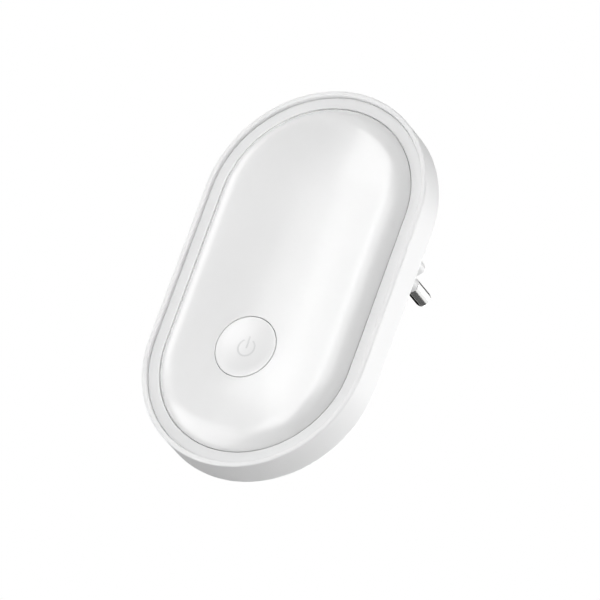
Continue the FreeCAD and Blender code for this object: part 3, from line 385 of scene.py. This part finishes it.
def make_stadium_moulding():
    """Sweep a section round the lamp's outline.

    Each point of the section gives its distance from the lamp's middle line and its height above the flat
    back. A point with a share below 1 lies on the way in to the button's hole, and one with on_crown at 1
    counts its height from the dome's crown.
    """
    tree, sizes, result = new_geometry_tree("stadium_moulding", [
        ("Half straight", "Float", half_straight),
        ("Path radius", "Float", 0.025),
        ("Path step", "Float", 0.001),
        ("Crown middle", "Float", crown_middle),
        ("Crown radius", "Float", crown_radius),
        ("Button drop", "Float", button_drop),
        ("Hole radius", "Float", 0.008),
        ("Back", "Float", back_y),
        ("Middle", "Float", middle_z),
        ("Material", "Material", None),
    ])
    circle_points = 258
    straight_end = sizes["Half straight"]
    other_end = math_node(tree, "MULTIPLY", straight_end, -1.0)

    # The outline: a circle pulled apart into a stadium, then walked in even steps
    circle = add_node(
        tree, "GeometryNodeCurvePrimitiveCircle", Radius=sizes["Path radius"], Resolution=circle_points
    )
    here = add_node(tree, "GeometryNodeInputPosition")
    pull = math_node(tree, "MULTIPLY", math_node(tree, "SIGN", split(tree, here)["Y"]), straight_end)
    offset = add_node(tree, "ShaderNodeCombineXYZ", Y=pull)
    stadium = add_node(tree, "GeometryNodeSetPosition", Geometry=circle, Offset=offset)
    steps = add_node(
        tree, "GeometryNodeResampleCurve", {"mode": "LENGTH"}, Curve=stadium, Length=sizes["Path step"]
    )
    kept = add_node(
        tree, "GeometryNodeStoreNamedAttribute", {"data_type": "FLOAT_VECTOR"},
        Geometry=steps, Name="outline", Value=here,
    )
    section = add_node(tree, "GeometryNodeMeshToCurve", Mesh=sizes["Geometry"])
    swept = add_node(tree, "GeometryNodeCurveToMesh", Curve=kept, Profile_Curve=section)

    # The place on the plain stadium: out from the middle line by the point's distance
    outline = add_node(
        tree, "GeometryNodeInputNamedAttribute", {"data_type": "FLOAT_VECTOR"}, Name="outline"
    )
    spine = add_node(
        tree, "ShaderNodeClamp", Value=split(tree, outline)["Y"], Min=other_end, Max=straight_end
    )
    spine_place = add_node(tree, "ShaderNodeCombineXYZ", Y=spine)
    outwards = vector_node(tree, "NORMALIZE", vector_node(tree, "SUBTRACT", outline, spine_place))
    plain_place = vector_node(tree, "MULTIPLY_ADD", outwards, point_value(tree, "distance"), spine_place)

    # The place at the button's hole, on the same side of it
    button = add_node(tree, "ShaderNodeCombineXYZ", Y=math_node(tree, "MULTIPLY", sizes["Button drop"], -1.0))
    way = vector_node(tree, "NORMALIZE", vector_node(tree, "SUBTRACT", outline, button))
    rim = math_node(tree, "ADD", sizes["Hole radius"], point_value(tree, "inward"))
    hole_place = vector_node(tree, "MULTIPLY_ADD", way, rim, button)
    place = split(tree, add_node(
        tree, "ShaderNodeMix", {"data_type": "VECTOR"},
        Factor=point_value(tree, "share"), A=hole_place, B=plain_place,
    ))

    # The height: the point's own, added to the crown's where it counts from there
    near = add_node(tree, "ShaderNodeClamp", Value=place["Y"], Min=other_end, Max=straight_end)
    past = math_node(tree, "SUBTRACT", place["Y"], near)
    square = math_node(tree, "MULTIPLY_ADD", place["X"], place["X"], math_node(tree, "MULTIPLY", past, past))
    reach = math_node(tree, "SUBTRACT", sizes["Crown radius"], point_value(tree, "depth"))
    rise = math_node(tree, "SUBTRACT", math_node(tree, "MULTIPLY", reach, reach), square)
    crown = math_node(tree, "ADD", sizes["Crown middle"], math_node(tree, "SQRT", rise))
    own = point_value(tree, "height")
    height = math_node(tree, "MULTIPLY_ADD", crown, point_value(tree, "on_crown"), own)
    final_place = add_node(
        tree, "ShaderNodeCombineXYZ", X=place["X"],
        Y=math_node(tree, "SUBTRACT", sizes["Back"], height),
        Z=math_node(tree, "ADD", place["Y"], sizes["Middle"]),
    )
    placed = add_node(tree, "GeometryNodeSetPosition", Geometry=swept, Position=final_place)
    closed = add_node(tree, "GeometryNodeMergeByDistance", Geometry=placed, Distance=weld_gap)
    smooth = add_node(tree, "GeometryNodeSetShadeSmooth", Geometry=closed)
    put_out_mesh(tree, result, smooth, sizes["Material"])
    return tree


def run_tree(name, mesh, tree, **values):
    """A plain mesh object made by a geometry tree from a starting mesh, with the tree's inputs given."""
    obj = new_object(name, mesh)
    modifier = obj.modifiers.new(tree.name, "NODES")
    modifier.node_group = tree
    sockets = {item.name: item.identifier for item in tree.interface.items_tree if item.in_out == "INPUT"}
    for socket_name, value in values.items():
        modifier[sockets[socket_name.replace("_", " ")]] = value
    evaluated = obj.evaluated_get(bpy.context.evaluated_depsgraph_get())
    plain = bpy.data.meshes.new_from_object(evaluated)
    obj.modifiers.remove(modifier)
    obj.data = plain
    return obj


def section_mesh(name, points):
    """A closed section; each point is a dictionary of the numbers it carries."""
    spacing = 0.001
    mesh = bpy.data.meshes.new(name)
    count = len(points)
    mesh.from_pydata(
        [(index * spacing, 0, 0) for index in range(count)],
        [(index, (index + 1) % count) for index in range(count)],
        [],
    )
    for key in ("distance", "height", "share", "inward", "depth", "on_crown"):
        layer = mesh.attributes.new(key, "FLOAT", "POINT")
        layer.data.foreach_set("value", [point.get(key, 0.0) for point in points])
    return mesh


def outline_point(distance, height):
    """A point of a section that simply follows the lamp's outline."""
    return {"distance": distance, "height": height, "share": 1.0}


def rounded_corner(centre, radius, first, last, steps):
    """Points round a corner of a section, in degrees from outwards towards the front."""
    points = []
    for step in range(steps + 1):
        angle = math.radians(first + (last - first) * step / steps)
        across = centre[0] + radius * math.cos(angle)
        height = centre[1] + radius * math.sin(angle)
        points.append(outline_point(across, height))
    return points


stadium_moulding = make_stadium_moulding()


def make_halo_ring():
    """The ring, with softly rounded front edges and the rebate over the dome's flange."""
    outer, inner, rebate = 0.0279, 0.02505, 0.02605
    foot, step, front = 0.0064, 0.0074, 0.0083
    edge, edge_steps = 0.00025, 5
    points = rounded_corner((outer - edge, front - edge), edge, 0, 90, edge_steps)
    points += rounded_corner((inner + edge, front - edge), edge, 90, 180, edge_steps)
    points += [outline_point(inner, step), outline_point(rebate, step)]
    points += [outline_point(rebate, foot), outline_point(outer, foot)]
    section = section_mesh("ring_section", points)
    ring = run_tree("halo_ring_moulding", section, stadium_moulding, Material=ring_acrylic)
    ring.data.set_sharp_from_angle(angle=math.radians(40))
    return ring


ring_acrylic = moulded_plastic(
    "ring_acrylic", (0.78, 0.782, 0.784), (0.80, 0.801, 0.802),
    roughness=0.34, spread=0.04, grain=3000, depth=0.000004,
    IOR=1.49, Subsurface_Weight=0.3, Subsurface_Radius=(1.0, 1.0, 1.0), Subsurface_Scale=0.002,
)
halo_ring = make_halo_ring()
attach(halo_ring, "lamp")
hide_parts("halo_ring")

# Diffuser dome
# A pillow-shaped cover moulded in glossy opal plastic. Its crown is nearly flat, its shoulder falls steeply
# to the ring, and a round hole near its lower end holds the button.
hole_radius = 0.00794
rim_round = 0.00014


def crown_height(x, z, depth=0.0):
    """The crown above the flat back; x and z are from the lamp's middle."""
    spine = max(-half_straight, min(half_straight, z))
    return crown_middle + math.sqrt((crown_radius - depth) ** 2 - x * x - (z - spine) ** 2)


def make_diffuser_dome():
    """The cover's closed section: from the hole's rim over the crown and shoulder, and back inside."""
    # The shoulder is an arc about this point of the section
    arc, arc_height, shoulder, wall = 0.017056, 0.00365, 0.009, 0.0016
    crown_slope, edge_slope = 16, 60
    rim_steps, crown_steps, shoulder_steps = 5, 56, 18
    flange, flange_top, foot = 0.02595, 0.00735, 0.0064
    crown_end = arc + shoulder * math.sin(math.radians(crown_slope))
    inner_end = arc + (shoulder - wall) * math.sin(math.radians(crown_slope))
    points = []
    for step in range(rim_steps + 1):
        angle = math.radians(90 * step / rim_steps)
        points.append({
            "inward": rim_round * (1 - math.cos(angle)),
            "height": -rim_round * (1 - math.sin(angle)),
            "on_crown": 1.0,
        })
    for step in range(1, crown_steps + 1):
        share = step / crown_steps
        points.append({"distance": crown_end, "share": share, "inward": rim_round, "on_crown": 1.0})
    outside = rounded_corner(
        (arc, arc_height), shoulder, 90 - crown_slope, 90 - edge_slope, shoulder_steps
    )
    points += outside[1:]
    outer_foot = arc + shoulder * math.sin(math.radians(edge_slope))
    inner_foot = arc + (shoulder - wall) * math.sin(math.radians(edge_slope))
    points += [outline_point(outer_foot, flange_top), outline_point(flange, flange_top)]
    points += [outline_point(flange, foot), outline_point(inner_foot, foot)]
    points += rounded_corner(
        (arc, arc_height), shoulder - wall, 90 - edge_slope, 90 - crown_slope, shoulder_steps
    )
    for step in range(1, crown_steps + 1):
        share = 1 - step / crown_steps
        points.append({"distance": inner_end, "share": share, "depth": wall, "on_crown": 1.0})
    dome = run_tree(
        "diffuser_dome_moulding", section_mesh("dome_section", points), stadium_moulding,
        Hole_radius=hole_radius, Material=dome_opal,
    )
    dome.data.set_sharp_from_angle(angle=math.radians(25))
    return dome


dome_opal = moulded_plastic(
    "dome_opal", (0.88, 0.88, 0.88), (0.89, 0.89, 0.89),
    roughness=0.235, spread=0.02, grain=2500, depth=0.000002,
    IOR=1.585, Coat_Weight=1.0, Coat_Roughness=0.24, Coat_IOR=1.5,
    Subsurface_Weight=0.4, Subsurface_Radius=(1.0, 1.0, 1.0), Subsurface_Scale=0.003,
)
diffuser_dome = make_diffuser_dome()
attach(diffuser_dome, "lamp")
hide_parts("diffuser_dome")

# Button
# A round push cap of white ABS, dished for the fingertip. Its rim lies flush with the dome's crown. Behind
# it are the stop flange, the guide skirt and the stem that presses the switch.
button_radius = 0.00776
dish_lowest = 0.0141
dish_radius = 0.04


def face_height(x, z):
    """The cap's face above the flat back: the dish, running out into the dome's crown at the rim."""
    blend = 0.00012
    off = math.hypot(x, z + button_drop)
    dish = dish_lowest + dish_radius - math.sqrt(dish_radius ** 2 - off ** 2)
    crown = crown_height(x, z)
    return min(dish, crown) - blend * math.exp(-abs(dish - crown) / blend)


def join_rows(mesh, rows):
    """Faces between each closed row of points and the next."""
    for row, after in zip(rows, rows[1:]):
        for index in range(len(row)):
            beside = (index + 1) % len(row)
            mesh.faces.new((row[index], row[beside], after[beside], after[index]))


def finish_mesh(name, mesh, sharp_angle=None):
    """A mesh facing outwards; with an angle, in degrees, it is smooth but for edges that turn more."""
    bmesh.ops.recalc_face_normals(mesh, faces=mesh.faces)
    for face in mesh.faces:
        face.smooth = sharp_angle is not None
    data = bpy.data.meshes.new(name)
    mesh.to_mesh(data)
    mesh.free()
    if sharp_angle is not None:
        data.set_sharp_from_angle(angle=math.radians(sharp_angle))
    return data


def lathe_rings(name, rings, segments):
    """A closed mesh of rings about the button's axis: (radius, height or None for the face, drop)."""
    mesh = bmesh.new()
    rows = []
    for radius, height, drop in rings:
        row = []
        for segment in range(segments):
            angle = 2 * math.pi * segment / segments
            x = radius * math.cos(angle)
            z = radius * math.sin(angle) - button_drop
            front = face_height(x, z) - drop if height is None else height
            row.append(mesh.verts.new((x, back_y - front, z + middle_z)))
        rows.append(row)
    join_rows(mesh, rows)
    for row, way in ((rows[0], 1), (rows[-1], -1)):
        mesh.faces.new(row[::way])
    return finish_mesh(name, mesh, sharp_angle=35)


def make_power_button():
    """The cap with a rounded rim, its flange, skirt and stem."""
    face_steps, rim_steps = 30, 5
    base, stop, stop_back, skirt_end, stem_end = 0.01265, 0.0086, 0.01205, 0.009, 0.01025
    skirt, skirt_inside, stem = 0.0068, 0.0056, 0.00175
    rings = []
    for step in range(1, face_steps + 1):
        rings.append(((button_radius - rim_round) * step / face_steps, None, 0.0))
    for step in range(1, rim_steps + 1):
        angle = math.radians(90 * step / rim_steps)
        radius = button_radius - rim_round + rim_round * math.sin(angle)
        rings.append((radius, None, rim_round * (1 - math.cos(angle))))
    rings += [(button_radius, base, 0), (stop, base, 0), (stop, stop_back, 0), (skirt, stop_back, 0)]
    rings += [(skirt, skirt_end, 0), (skirt_inside, skirt_end, 0), (skirt_inside, stop_back, 0)]
    rings += [(stem, stop_back, 0), (stem, stem_end, 0), (stem / 2, stem_end, 0)]
    cap = new_object("power_button_cap", lathe_rings("power_button_cap", rings, segments=96))
    cap.data.materials.append(button_abs)
    return cap


button_abs = moulded_plastic(
    "button_abs", (0.86, 0.86, 0.86), (0.87, 0.87, 0.87),
    roughness=0.235, spread=0.02, grain=5000, depth=0.000004,
    IOR=1.55, Coat_Weight=1.0, Coat_Roughness=0.24, Coat_IOR=1.5,
)
power_button = make_power_button()
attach(power_button, "button")
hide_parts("power_button")

# Power symbol
# A broken ring with an upright bar in its opening, printed in light grey ink that stands a hair proud of the
# dish.


def make_power_symbol():
    """Two strips with round ends, laid over the dish."""
    ring_radius, half_line, half_opening, bar_top = 0.00215, 0.00021, 36, 0.00275
    proud, sunk, end_steps, ring_steps, bar_steps = 0.00003, 0.0002, 6, 64, 12

    def ring_place(share):
        angle = math.radians(90 + half_opening + (360 - 2 * half_opening) * share)
        outwards = Vector((math.cos(angle), math.sin(angle)))
        return outwards * ring_radius, Vector((-outwards.y, outwards.x))

    def bar_place(share):
        return Vector((0, bar_top * share)), Vector((0, 1))

    mesh = bmesh.new()
    for line_place, steps in ((ring_place, ring_steps), (bar_place, bar_steps)):
        stations = []
        for step in range(end_steps + 1):
            angle = math.radians(90 * step / end_steps)
            stations.append((0, -half_line * math.cos(angle), half_line * math.sin(angle)))
        stations += [(step / steps, 0, half_line) for step in range(1, steps)]
        for step in range(end_steps + 1):
            angle = math.radians(90 * step / end_steps)
            stations.append((1, half_line * math.sin(angle), half_line * math.cos(angle)))
        rows = []
        for share, past, half in stations:
            place, along = line_place(share)
            across = Vector((along.y, -along.x))
            row = []
            for side, lift in ((-1, proud), (1, proud), (1, -sunk), (-1, -sunk)):
                x, z = place + along * past + across * side * half
                height = face_height(x, z - button_drop) + lift
                row.append(mesh.verts.new((x, back_y - height, z - button_drop + middle_z)))
            rows.append(row)
        join_rows(mesh, rows)
    bmesh.ops.remove_doubles(mesh, verts=mesh.verts, dist=weld_gap)
    bmesh.ops.dissolve_degenerate(mesh, edges=mesh.edges, dist=weld_gap)
    symbol = new_object("power_symbol_print", finish_mesh("power_symbol_print", mesh))
    symbol.data.materials.append(symbol_print)
    return symbol


symbol_print = moulded_plastic(
    "symbol_print", (0.66, 0.663, 0.666), (0.70, 0.702, 0.704),
    roughness=0.45, spread=0.05, grain=6000, depth=0.000006,
)
power_symbol = make_power_symbol()
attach(power_symbol, "button")
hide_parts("power_symbol")

# Plug pins
# Two round brass pins, turned and nickel plated, with a rounded bare end. Fine turning marks run round them.


def make_worked_metal():
    """Marks of turning or brushing: fine lines across the direction that is stretched the most."""
    group, given, result = new_surface_group("worked_metal", [
        ("Lines per metre", "Vector", (200.0, 9000.0, 200.0)),
        ("Roughness", "Float", 0.2),
        ("Roughness spread", "Float", 0.06),
    ])
    stretched = vector_node(group, "MULTIPLY", given["Vector"], given["Lines per metre"])
    lines = add_node(group, "ShaderNodeTexNoise", Vector=stretched, Scale=1.0, Detail=3.0)
    patches = add_node(group, "ShaderNodeTexNoise", Vector=given["Vector"], Scale=300.0, Detail=2.0)
    put_out_surface(group, given, result, lines, lines, patches)
    return group


worked_metal = make_worked_metal()


def bare_metal(name, low, high, roughness, lines, depth):
    """Metal with its working marks and a slight drift of colour."""
    material = new_material(name, Metallic=1.0)
    surface = lay_surface(material, worked_metal, Lines_per_metre=lines, Roughness=roughness)
    add_bump(material, surface["Height"], depth, strength=0.6)
    tint(material, surface["Patches"], low, high)
    return material


pin_nickel = bare_metal(
    "pin_nickel", (0.84, 0.84, 0.83), (0.88, 0.88, 0.87),
    roughness=0.13, lines=(200.0, 9000.0, 200.0), depth=0.000002,
)
dress("plug_pin_left", pin_nickel)
dress("plug_pin_right", pin_nickel)

# Pin sleeves
# Light grey plastic moulded round the half of each pin next to the boss, a little thinner than the bare end.
sleeve_plastic = moulded_plastic(
    "sleeve_plastic", (0.74, 0.743, 0.746), (0.77, 0.772, 0.775),
    roughness=0.4, spread=0.05, grain=5000, depth=0.000005,
)
dress("pin_sleeve_left", sleeve_plastic)
dress("pin_sleeve_right", sleeve_plastic)

# Pin carrier
# A block of white nylon inside the end of the boss, which clamps both pins by their collars.
dress("pin_carrier", moulded_plastic(
    "carrier_nylon", (0.74, 0.73, 0.70), (0.78, 0.77, 0.74),
    roughness=0.5, spread=0.06, grain=3500, depth=0.00001, Subsurface_Weight=0.1,
    Subsurface_Radius=(1.0, 1.0, 1.0), Subsurface_Scale=0.001,
))

# Mains leads
# Two short leads, brown and blue, from the pins' tails down into the driver board. Their insulation is soft
# and slightly glossy.
dress("lead_live", moulded_plastic(
    "lead_brown", (0.13, 0.05, 0.02), (0.16, 0.065, 0.03),
    roughness=0.35, spread=0.08, grain=3000, depth=0.00001,
))
dress("lead_neutral", moulded_plastic(
    "lead_blue", (0.02, 0.09, 0.35), (0.03, 0.12, 0.42),
    roughness=0.35, spread=0.08, grain=3000, depth=0.00001,
))

# Circuit boards
# Two fibreglass boards: the light board with its white lacquer, and the driver board in green. Copper tracks
# show under the lacquer as slightly raised lines.


def circuit_board(name, lacquer, track, tracks_per_metre):
    """Lacquered board with the tracks showing through."""
    material = new_material(name, IOR=1.5)
    tree = material.node_tree
    lay_surface(material, moulded_grain, Grain_per_metre=2500.0, Roughness=0.3, Roughness_spread=0.06)
    place = add_node(
        tree, "ShaderNodeMapping", Vector=own_coordinates(tree), Rotation=(math.radians(90), 0, 0),
        Scale=(tracks_per_metre,) * 3,
    )
    tracks = add_node(
        tree, "ShaderNodeTexBrick", Vector=place, Scale=1.0, Mortar_Size=0.06, Mortar_Smooth=0.2,
        Brick_Width=2.6, Row_Height=0.7,
    ).node.outputs["Fac"]
    tint(material, tracks, lacquer, track)
    add_bump(material, tracks, distance=0.00003, strength=0.8)
    return material


dress("led_board", circuit_board("board_white", (0.78, 0.78, 0.76), (0.72, 0.715, 0.69), 300.0))
dress("driver_board", circuit_board("board_green", (0.012, 0.10, 0.035), (0.03, 0.2, 0.07), 420.0))

# Light-emitting chips
# Twelve surface-mounted packages round the light board. Each is a white ceramic block with a border round its
# face, and holds a plate of yellow phosphor just under it.


def make_placed_copies():
    """Put a copy of one piece at each point of a mesh, turned about the front axis by the point's turn."""
    tree, given, result = new_geometry_tree("placed_copies", [
        ("Piece", "Object", None),
        ("Material", "Material", None),
    ])
    piece = add_node(tree, "GeometryNodeObjectInfo", Object=given["Piece"]).node.outputs["Geometry"]
    turned = add_node(tree, "ShaderNodeCombineXYZ", Y=point_value(tree, "turn"))
    copies = add_node(
        tree, "GeometryNodeInstanceOnPoints", Points=given["Geometry"], Instance=piece, Rotation=turned
    )
    put_out_mesh(tree, result, copies, given["Material"])
    return tree


placed_copies = make_placed_copies()


def copies_at(name, places, piece_mesh, material):
    """One plain mesh of a piece repeated at (x, height, z, turn), about the lamp's middle and flat back."""
    points = bpy.data.meshes.new(f"{name}_places")
    points.from_pydata([(x, back_y - height, z + middle_z) for x, height, z, _ in places], [], [])
    layer = points.attributes.new("turn", "FLOAT", "POINT")
    layer.data.foreach_set("value", [turn for _, _, _, turn in places])
    pattern = new_object(f"{name}_pattern", piece_mesh)
    copies = run_tree(name, points, placed_copies, Piece=pattern, Material=material)
    bpy.data.objects.remove(pattern)
    return copies


def framed_chip(width, length, thickness, border, slope):
    """The package: a block whose face has a flat border, with a slope inside it up to the middle."""
    mesh = bmesh.new()
    bmesh.ops.create_cube(mesh, size=1.0)
    for vert in mesh.verts:
        vert.co = (vert.co.x * width, -(vert.co.y + 0.5) * thickness, vert.co.z * length)
    mesh.normal_update()
    front = min(mesh.faces, key=lambda face: face.calc_center_median().y)
    bmesh.ops.inset_individual(mesh, faces=[front], thickness=border)
    bmesh.ops.inset_individual(mesh, faces=[front], thickness=slope, depth=-slope)
    return finish_mesh("chip_frame", mesh)


def flat_plate(width, length, thickness, height):
    """The phosphor: a thin plate with its middle at a height above the board."""
    mesh = bmesh.new()
    bmesh.ops.create_cube(mesh, size=1.0)
    for vert in mesh.verts:
        vert.co = (vert.co.x * width, vert.co.y * thickness - height, vert.co.z * length)
    return finish_mesh("phosphor_plate", mesh)


chip_path = 0.017
chip_step = 0.014
board_front = 0.0052
chip_width, chip_length, chip_thick, chip_border, chip_slope = 0.0028, 0.0035, 0.0007, 0.0003, 0.00012
plate_width = chip_width - 2 * chip_border
plate_length = chip_length - 2 * chip_border
plate_thick, plate_height = 0.00004, 0.000604
chip_places = []
for side in (1, -1):
    for step in (-1, 0, 1):
        chip_places.append((side * chip_path, board_front, step * chip_step, 0.0))
for end in (1, -1):
    for degrees in (45, 90, 135):
        angle = math.radians(degrees)
        place_z = end * (half_straight + chip_path * math.sin(angle))
        chip_places.append((chip_path * math.cos(angle), board_front, place_z, -end * angle))
chip_ceramic = moulded_plastic(
    "chip_ceramic", (0.80, 0.80, 0.78), (0.84, 0.84, 0.82),
    roughness=0.45, spread=0.05, grain=6000, depth=0.000005,
)
chip_phosphor = moulded_plastic(
    "chip_phosphor", (0.75, 0.55, 0.10), (0.82, 0.63, 0.16),
    roughness=0.5, spread=0.08, grain=9000, depth=0.00001,
)
chip_frames = copies_at(
    "led_frames", chip_places, framed_chip(chip_width, chip_length, chip_thick, chip_border, chip_slope),
    chip_ceramic,
)
chip_windows = copies_at(
    "led_windows", chip_places, flat_plate(plate_width, plate_length, plate_thick, plate_height),
    chip_phosphor,
)
for piece in (chip_frames, chip_windows):
    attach(piece, "lamp")
    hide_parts("leds")

# Board screws
# Four small steel screws that hold the tray and the light board to the housing's posts. Each has a round pan
# head and a rolled thread.


def threaded_screw():
    """A screw that points backwards from the underside of its head."""
    head, head_thick, head_round, inner_ring = 0.0018, 0.0011, 0.0005, 0.00081
    shank, length = 0.00085, 0.0049
    pitch, thread_depth, segments, rows_per_turn, head_steps = 0.0006, 0.00012, 24, 8, 6
    mesh = bmesh.new()
    profile = [(0.0, head_thick), (inner_ring, head_thick)]
    for step in range(head_steps + 1):
        angle = math.radians(90 * step / head_steps)
        radius = head - head_round + head_round * math.sin(angle)
        profile.append((radius, head_thick - head_round + head_round * math.cos(angle)))
    profile += [(head, 0.0), (shank, 0.0)]
    rows = [[point] * segments for point in profile]
    turns = length / pitch
    for step in range(1, int(turns * rows_per_turn)):
        row = []
        for segment in range(segments):
            phase = step / rows_per_turn - segment / segments
            crest = abs((phase % 1.0) - 0.5) * 2
            row.append((shank - thread_depth * crest, -step * pitch / rows_per_turn))
        rows.append(row)
    rows.append([(0.0, -length)] * segments)
    grid = []
    for row in rows:
        ring = []
        for segment, (radius, height) in enumerate(row):
            angle = 2 * math.pi * segment / segments
            ring.append(mesh.verts.new((radius * math.cos(angle), -height, radius * math.sin(angle))))
        grid.append(ring)
    join_rows(mesh, grid)
    bmesh.ops.remove_doubles(mesh, verts=mesh.verts, dist=weld_gap)
    return finish_mesh("threaded_screw", mesh, sharp_angle=40)


screw_side, screw_seat, screw_end = 0.021, 0.006, 0.012
screw_places = []
for side in (1, -1):
    for end in (1, -1):
        screw_places.append((side * screw_side, screw_seat, end * screw_end, 0.0))
screw_steel = bare_metal(
    "screw_steel", (0.50, 0.50, 0.51), (0.58, 0.58, 0.59),
    roughness=0.3, lines=(3000.0, 300.0, 3000.0), depth=0.000004,
)
board_screws = copies_at("board_screws_threaded", screw_places, threaded_screw(), screw_steel)
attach(board_screws, "lamp")
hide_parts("board_screws")

# Tray and insulating sheet
# The tray under the dome is white and glossy, to send the light forwards. The sheet behind the light board is
# pressed fibre, grey and matt.
dress("reflector_tray", moulded_plastic(
    "tray_white", (0.88, 0.88, 0.87), (0.90, 0.90, 0.89),
    roughness=0.25, spread=0.05, grain=4000, depth=0.000006,
))
dress("insulating_sheet", moulded_plastic(
    "sheet_fibre", (0.30, 0.31, 0.32), (0.38, 0.39, 0.40),
    roughness=0.8, spread=0.05, grain=1800, depth=0.00004,
))

# Push switch
# A black body with a steel cover plate and a black plunger, which the button's stem presses.
dress("tact_switch_base", moulded_plastic(
    "switch_black", (0.02, 0.02, 0.02), (0.03, 0.03, 0.03),
    roughness=0.45, spread=0.06, grain=5000, depth=0.00001,
))
dress("tact_switch_plunger", moulded_plastic(
    "plunger_black", (0.025, 0.025, 0.025), (0.035, 0.035, 0.035),
    roughness=0.35, spread=0.06, grain=5000, depth=0.000006,
))
dress("tact_switch_cover", bare_metal(
    "switch_steel", (0.60, 0.60, 0.60), (0.66, 0.66, 0.66),
    roughness=0.28, lines=(9000.0, 300.0, 300.0), depth=0.000003,
))

# Parts of the driver board
# A yellow film capacitor, a rectifier and a chip in black epoxy, a sleeved can capacitor, two resistors with
# their colour bands, and the header that joins the two boards.
dress("film_capacitor", moulded_plastic(
    "film_yellow", (0.72, 0.45, 0.03), (0.80, 0.52, 0.05),
    roughness=0.35, spread=0.08, grain=3000, depth=0.00002,
))
chip_epoxy = moulded_plastic(
    "chip_epoxy", (0.02, 0.02, 0.022), (0.035, 0.035, 0.037),
    roughness=0.6, spread=0.06, grain=7000, depth=0.00002,
)
dress("bridge_rectifier", chip_epoxy)
dress("control_chip", chip_epoxy)


def banded(name, axis, start, end, bands, roughness):
    """Lacquer in bands along one axis of the lamp; bands are (share of the way, colour)."""
    material = new_material(name)
    tree = material.node_tree
    surface = lay_surface(material, moulded_grain, Roughness=roughness, Roughness_spread=0.05)
    along = split(tree, own_coordinates(tree))[axis]
    share = add_node(tree, "ShaderNodeMapRange", Value=along, From_Min=start, From_Max=end)
    ramp = tree.nodes.new("ShaderNodeValToRGB")
    ramp.color_ramp.interpolation = "CONSTANT"
    link(tree, share, ramp.inputs["Fac"])
    elements = ramp.color_ramp.elements
    elements[0].color = (*bands[0][1], 1)
    elements[1].position = bands[1][0]
    elements[1].color = (*bands[1][1], 1)
    for position, colour in bands[2:]:
        elements.new(position).color = (*colour, 1)
    link(tree, ramp.outputs["Color"], shader_input(material, "Base Color"))
    add_bump(material, surface["Height"], distance=0.00001, strength=0.4)
    return material


green, blue, tin = (0.08, 0.22, 0.10), (0.10, 0.30, 0.45), (0.55, 0.55, 0.54)
brown, black, gold, red = (0.12, 0.05, 0.02), (0.01, 0.01, 0.01), (0.45, 0.33, 0.08), (0.45, 0.02, 0.02)
dress("fusible_resistor", banded("fusible_bands", "X", -0.0093, -0.0037, [
    (0, tin), (0.01, green), (0.16, brown), (0.26, green), (0.36, black), (0.46, green),
    (0.56, gold), (0.66, green), (0.82, gold), (0.92, green), (0.99, tin),
], roughness=0.35))
dress("bleed_resistor", banded("bleed_bands", "X", 0.0013, 0.0047, [
    (0, tin), (0.01, blue), (0.16, brown), (0.26, blue), (0.36, black), (0.46, blue),
    (0.56, red), (0.66, blue), (0.82, brown), (0.92, blue), (0.99, tin),
], roughness=0.35))
dress("electrolytic_capacitor", banded("can_sleeve", "Y", -0.0236, -0.0126, [
    (0, tin), (0.04, black), (0.955, tin),
], roughness=0.3))
dress("board_header", banded("header_nylon", "Y", -0.0280, -0.0235, [
    (0, gold), (0.45, black),
], roughness=0.4))
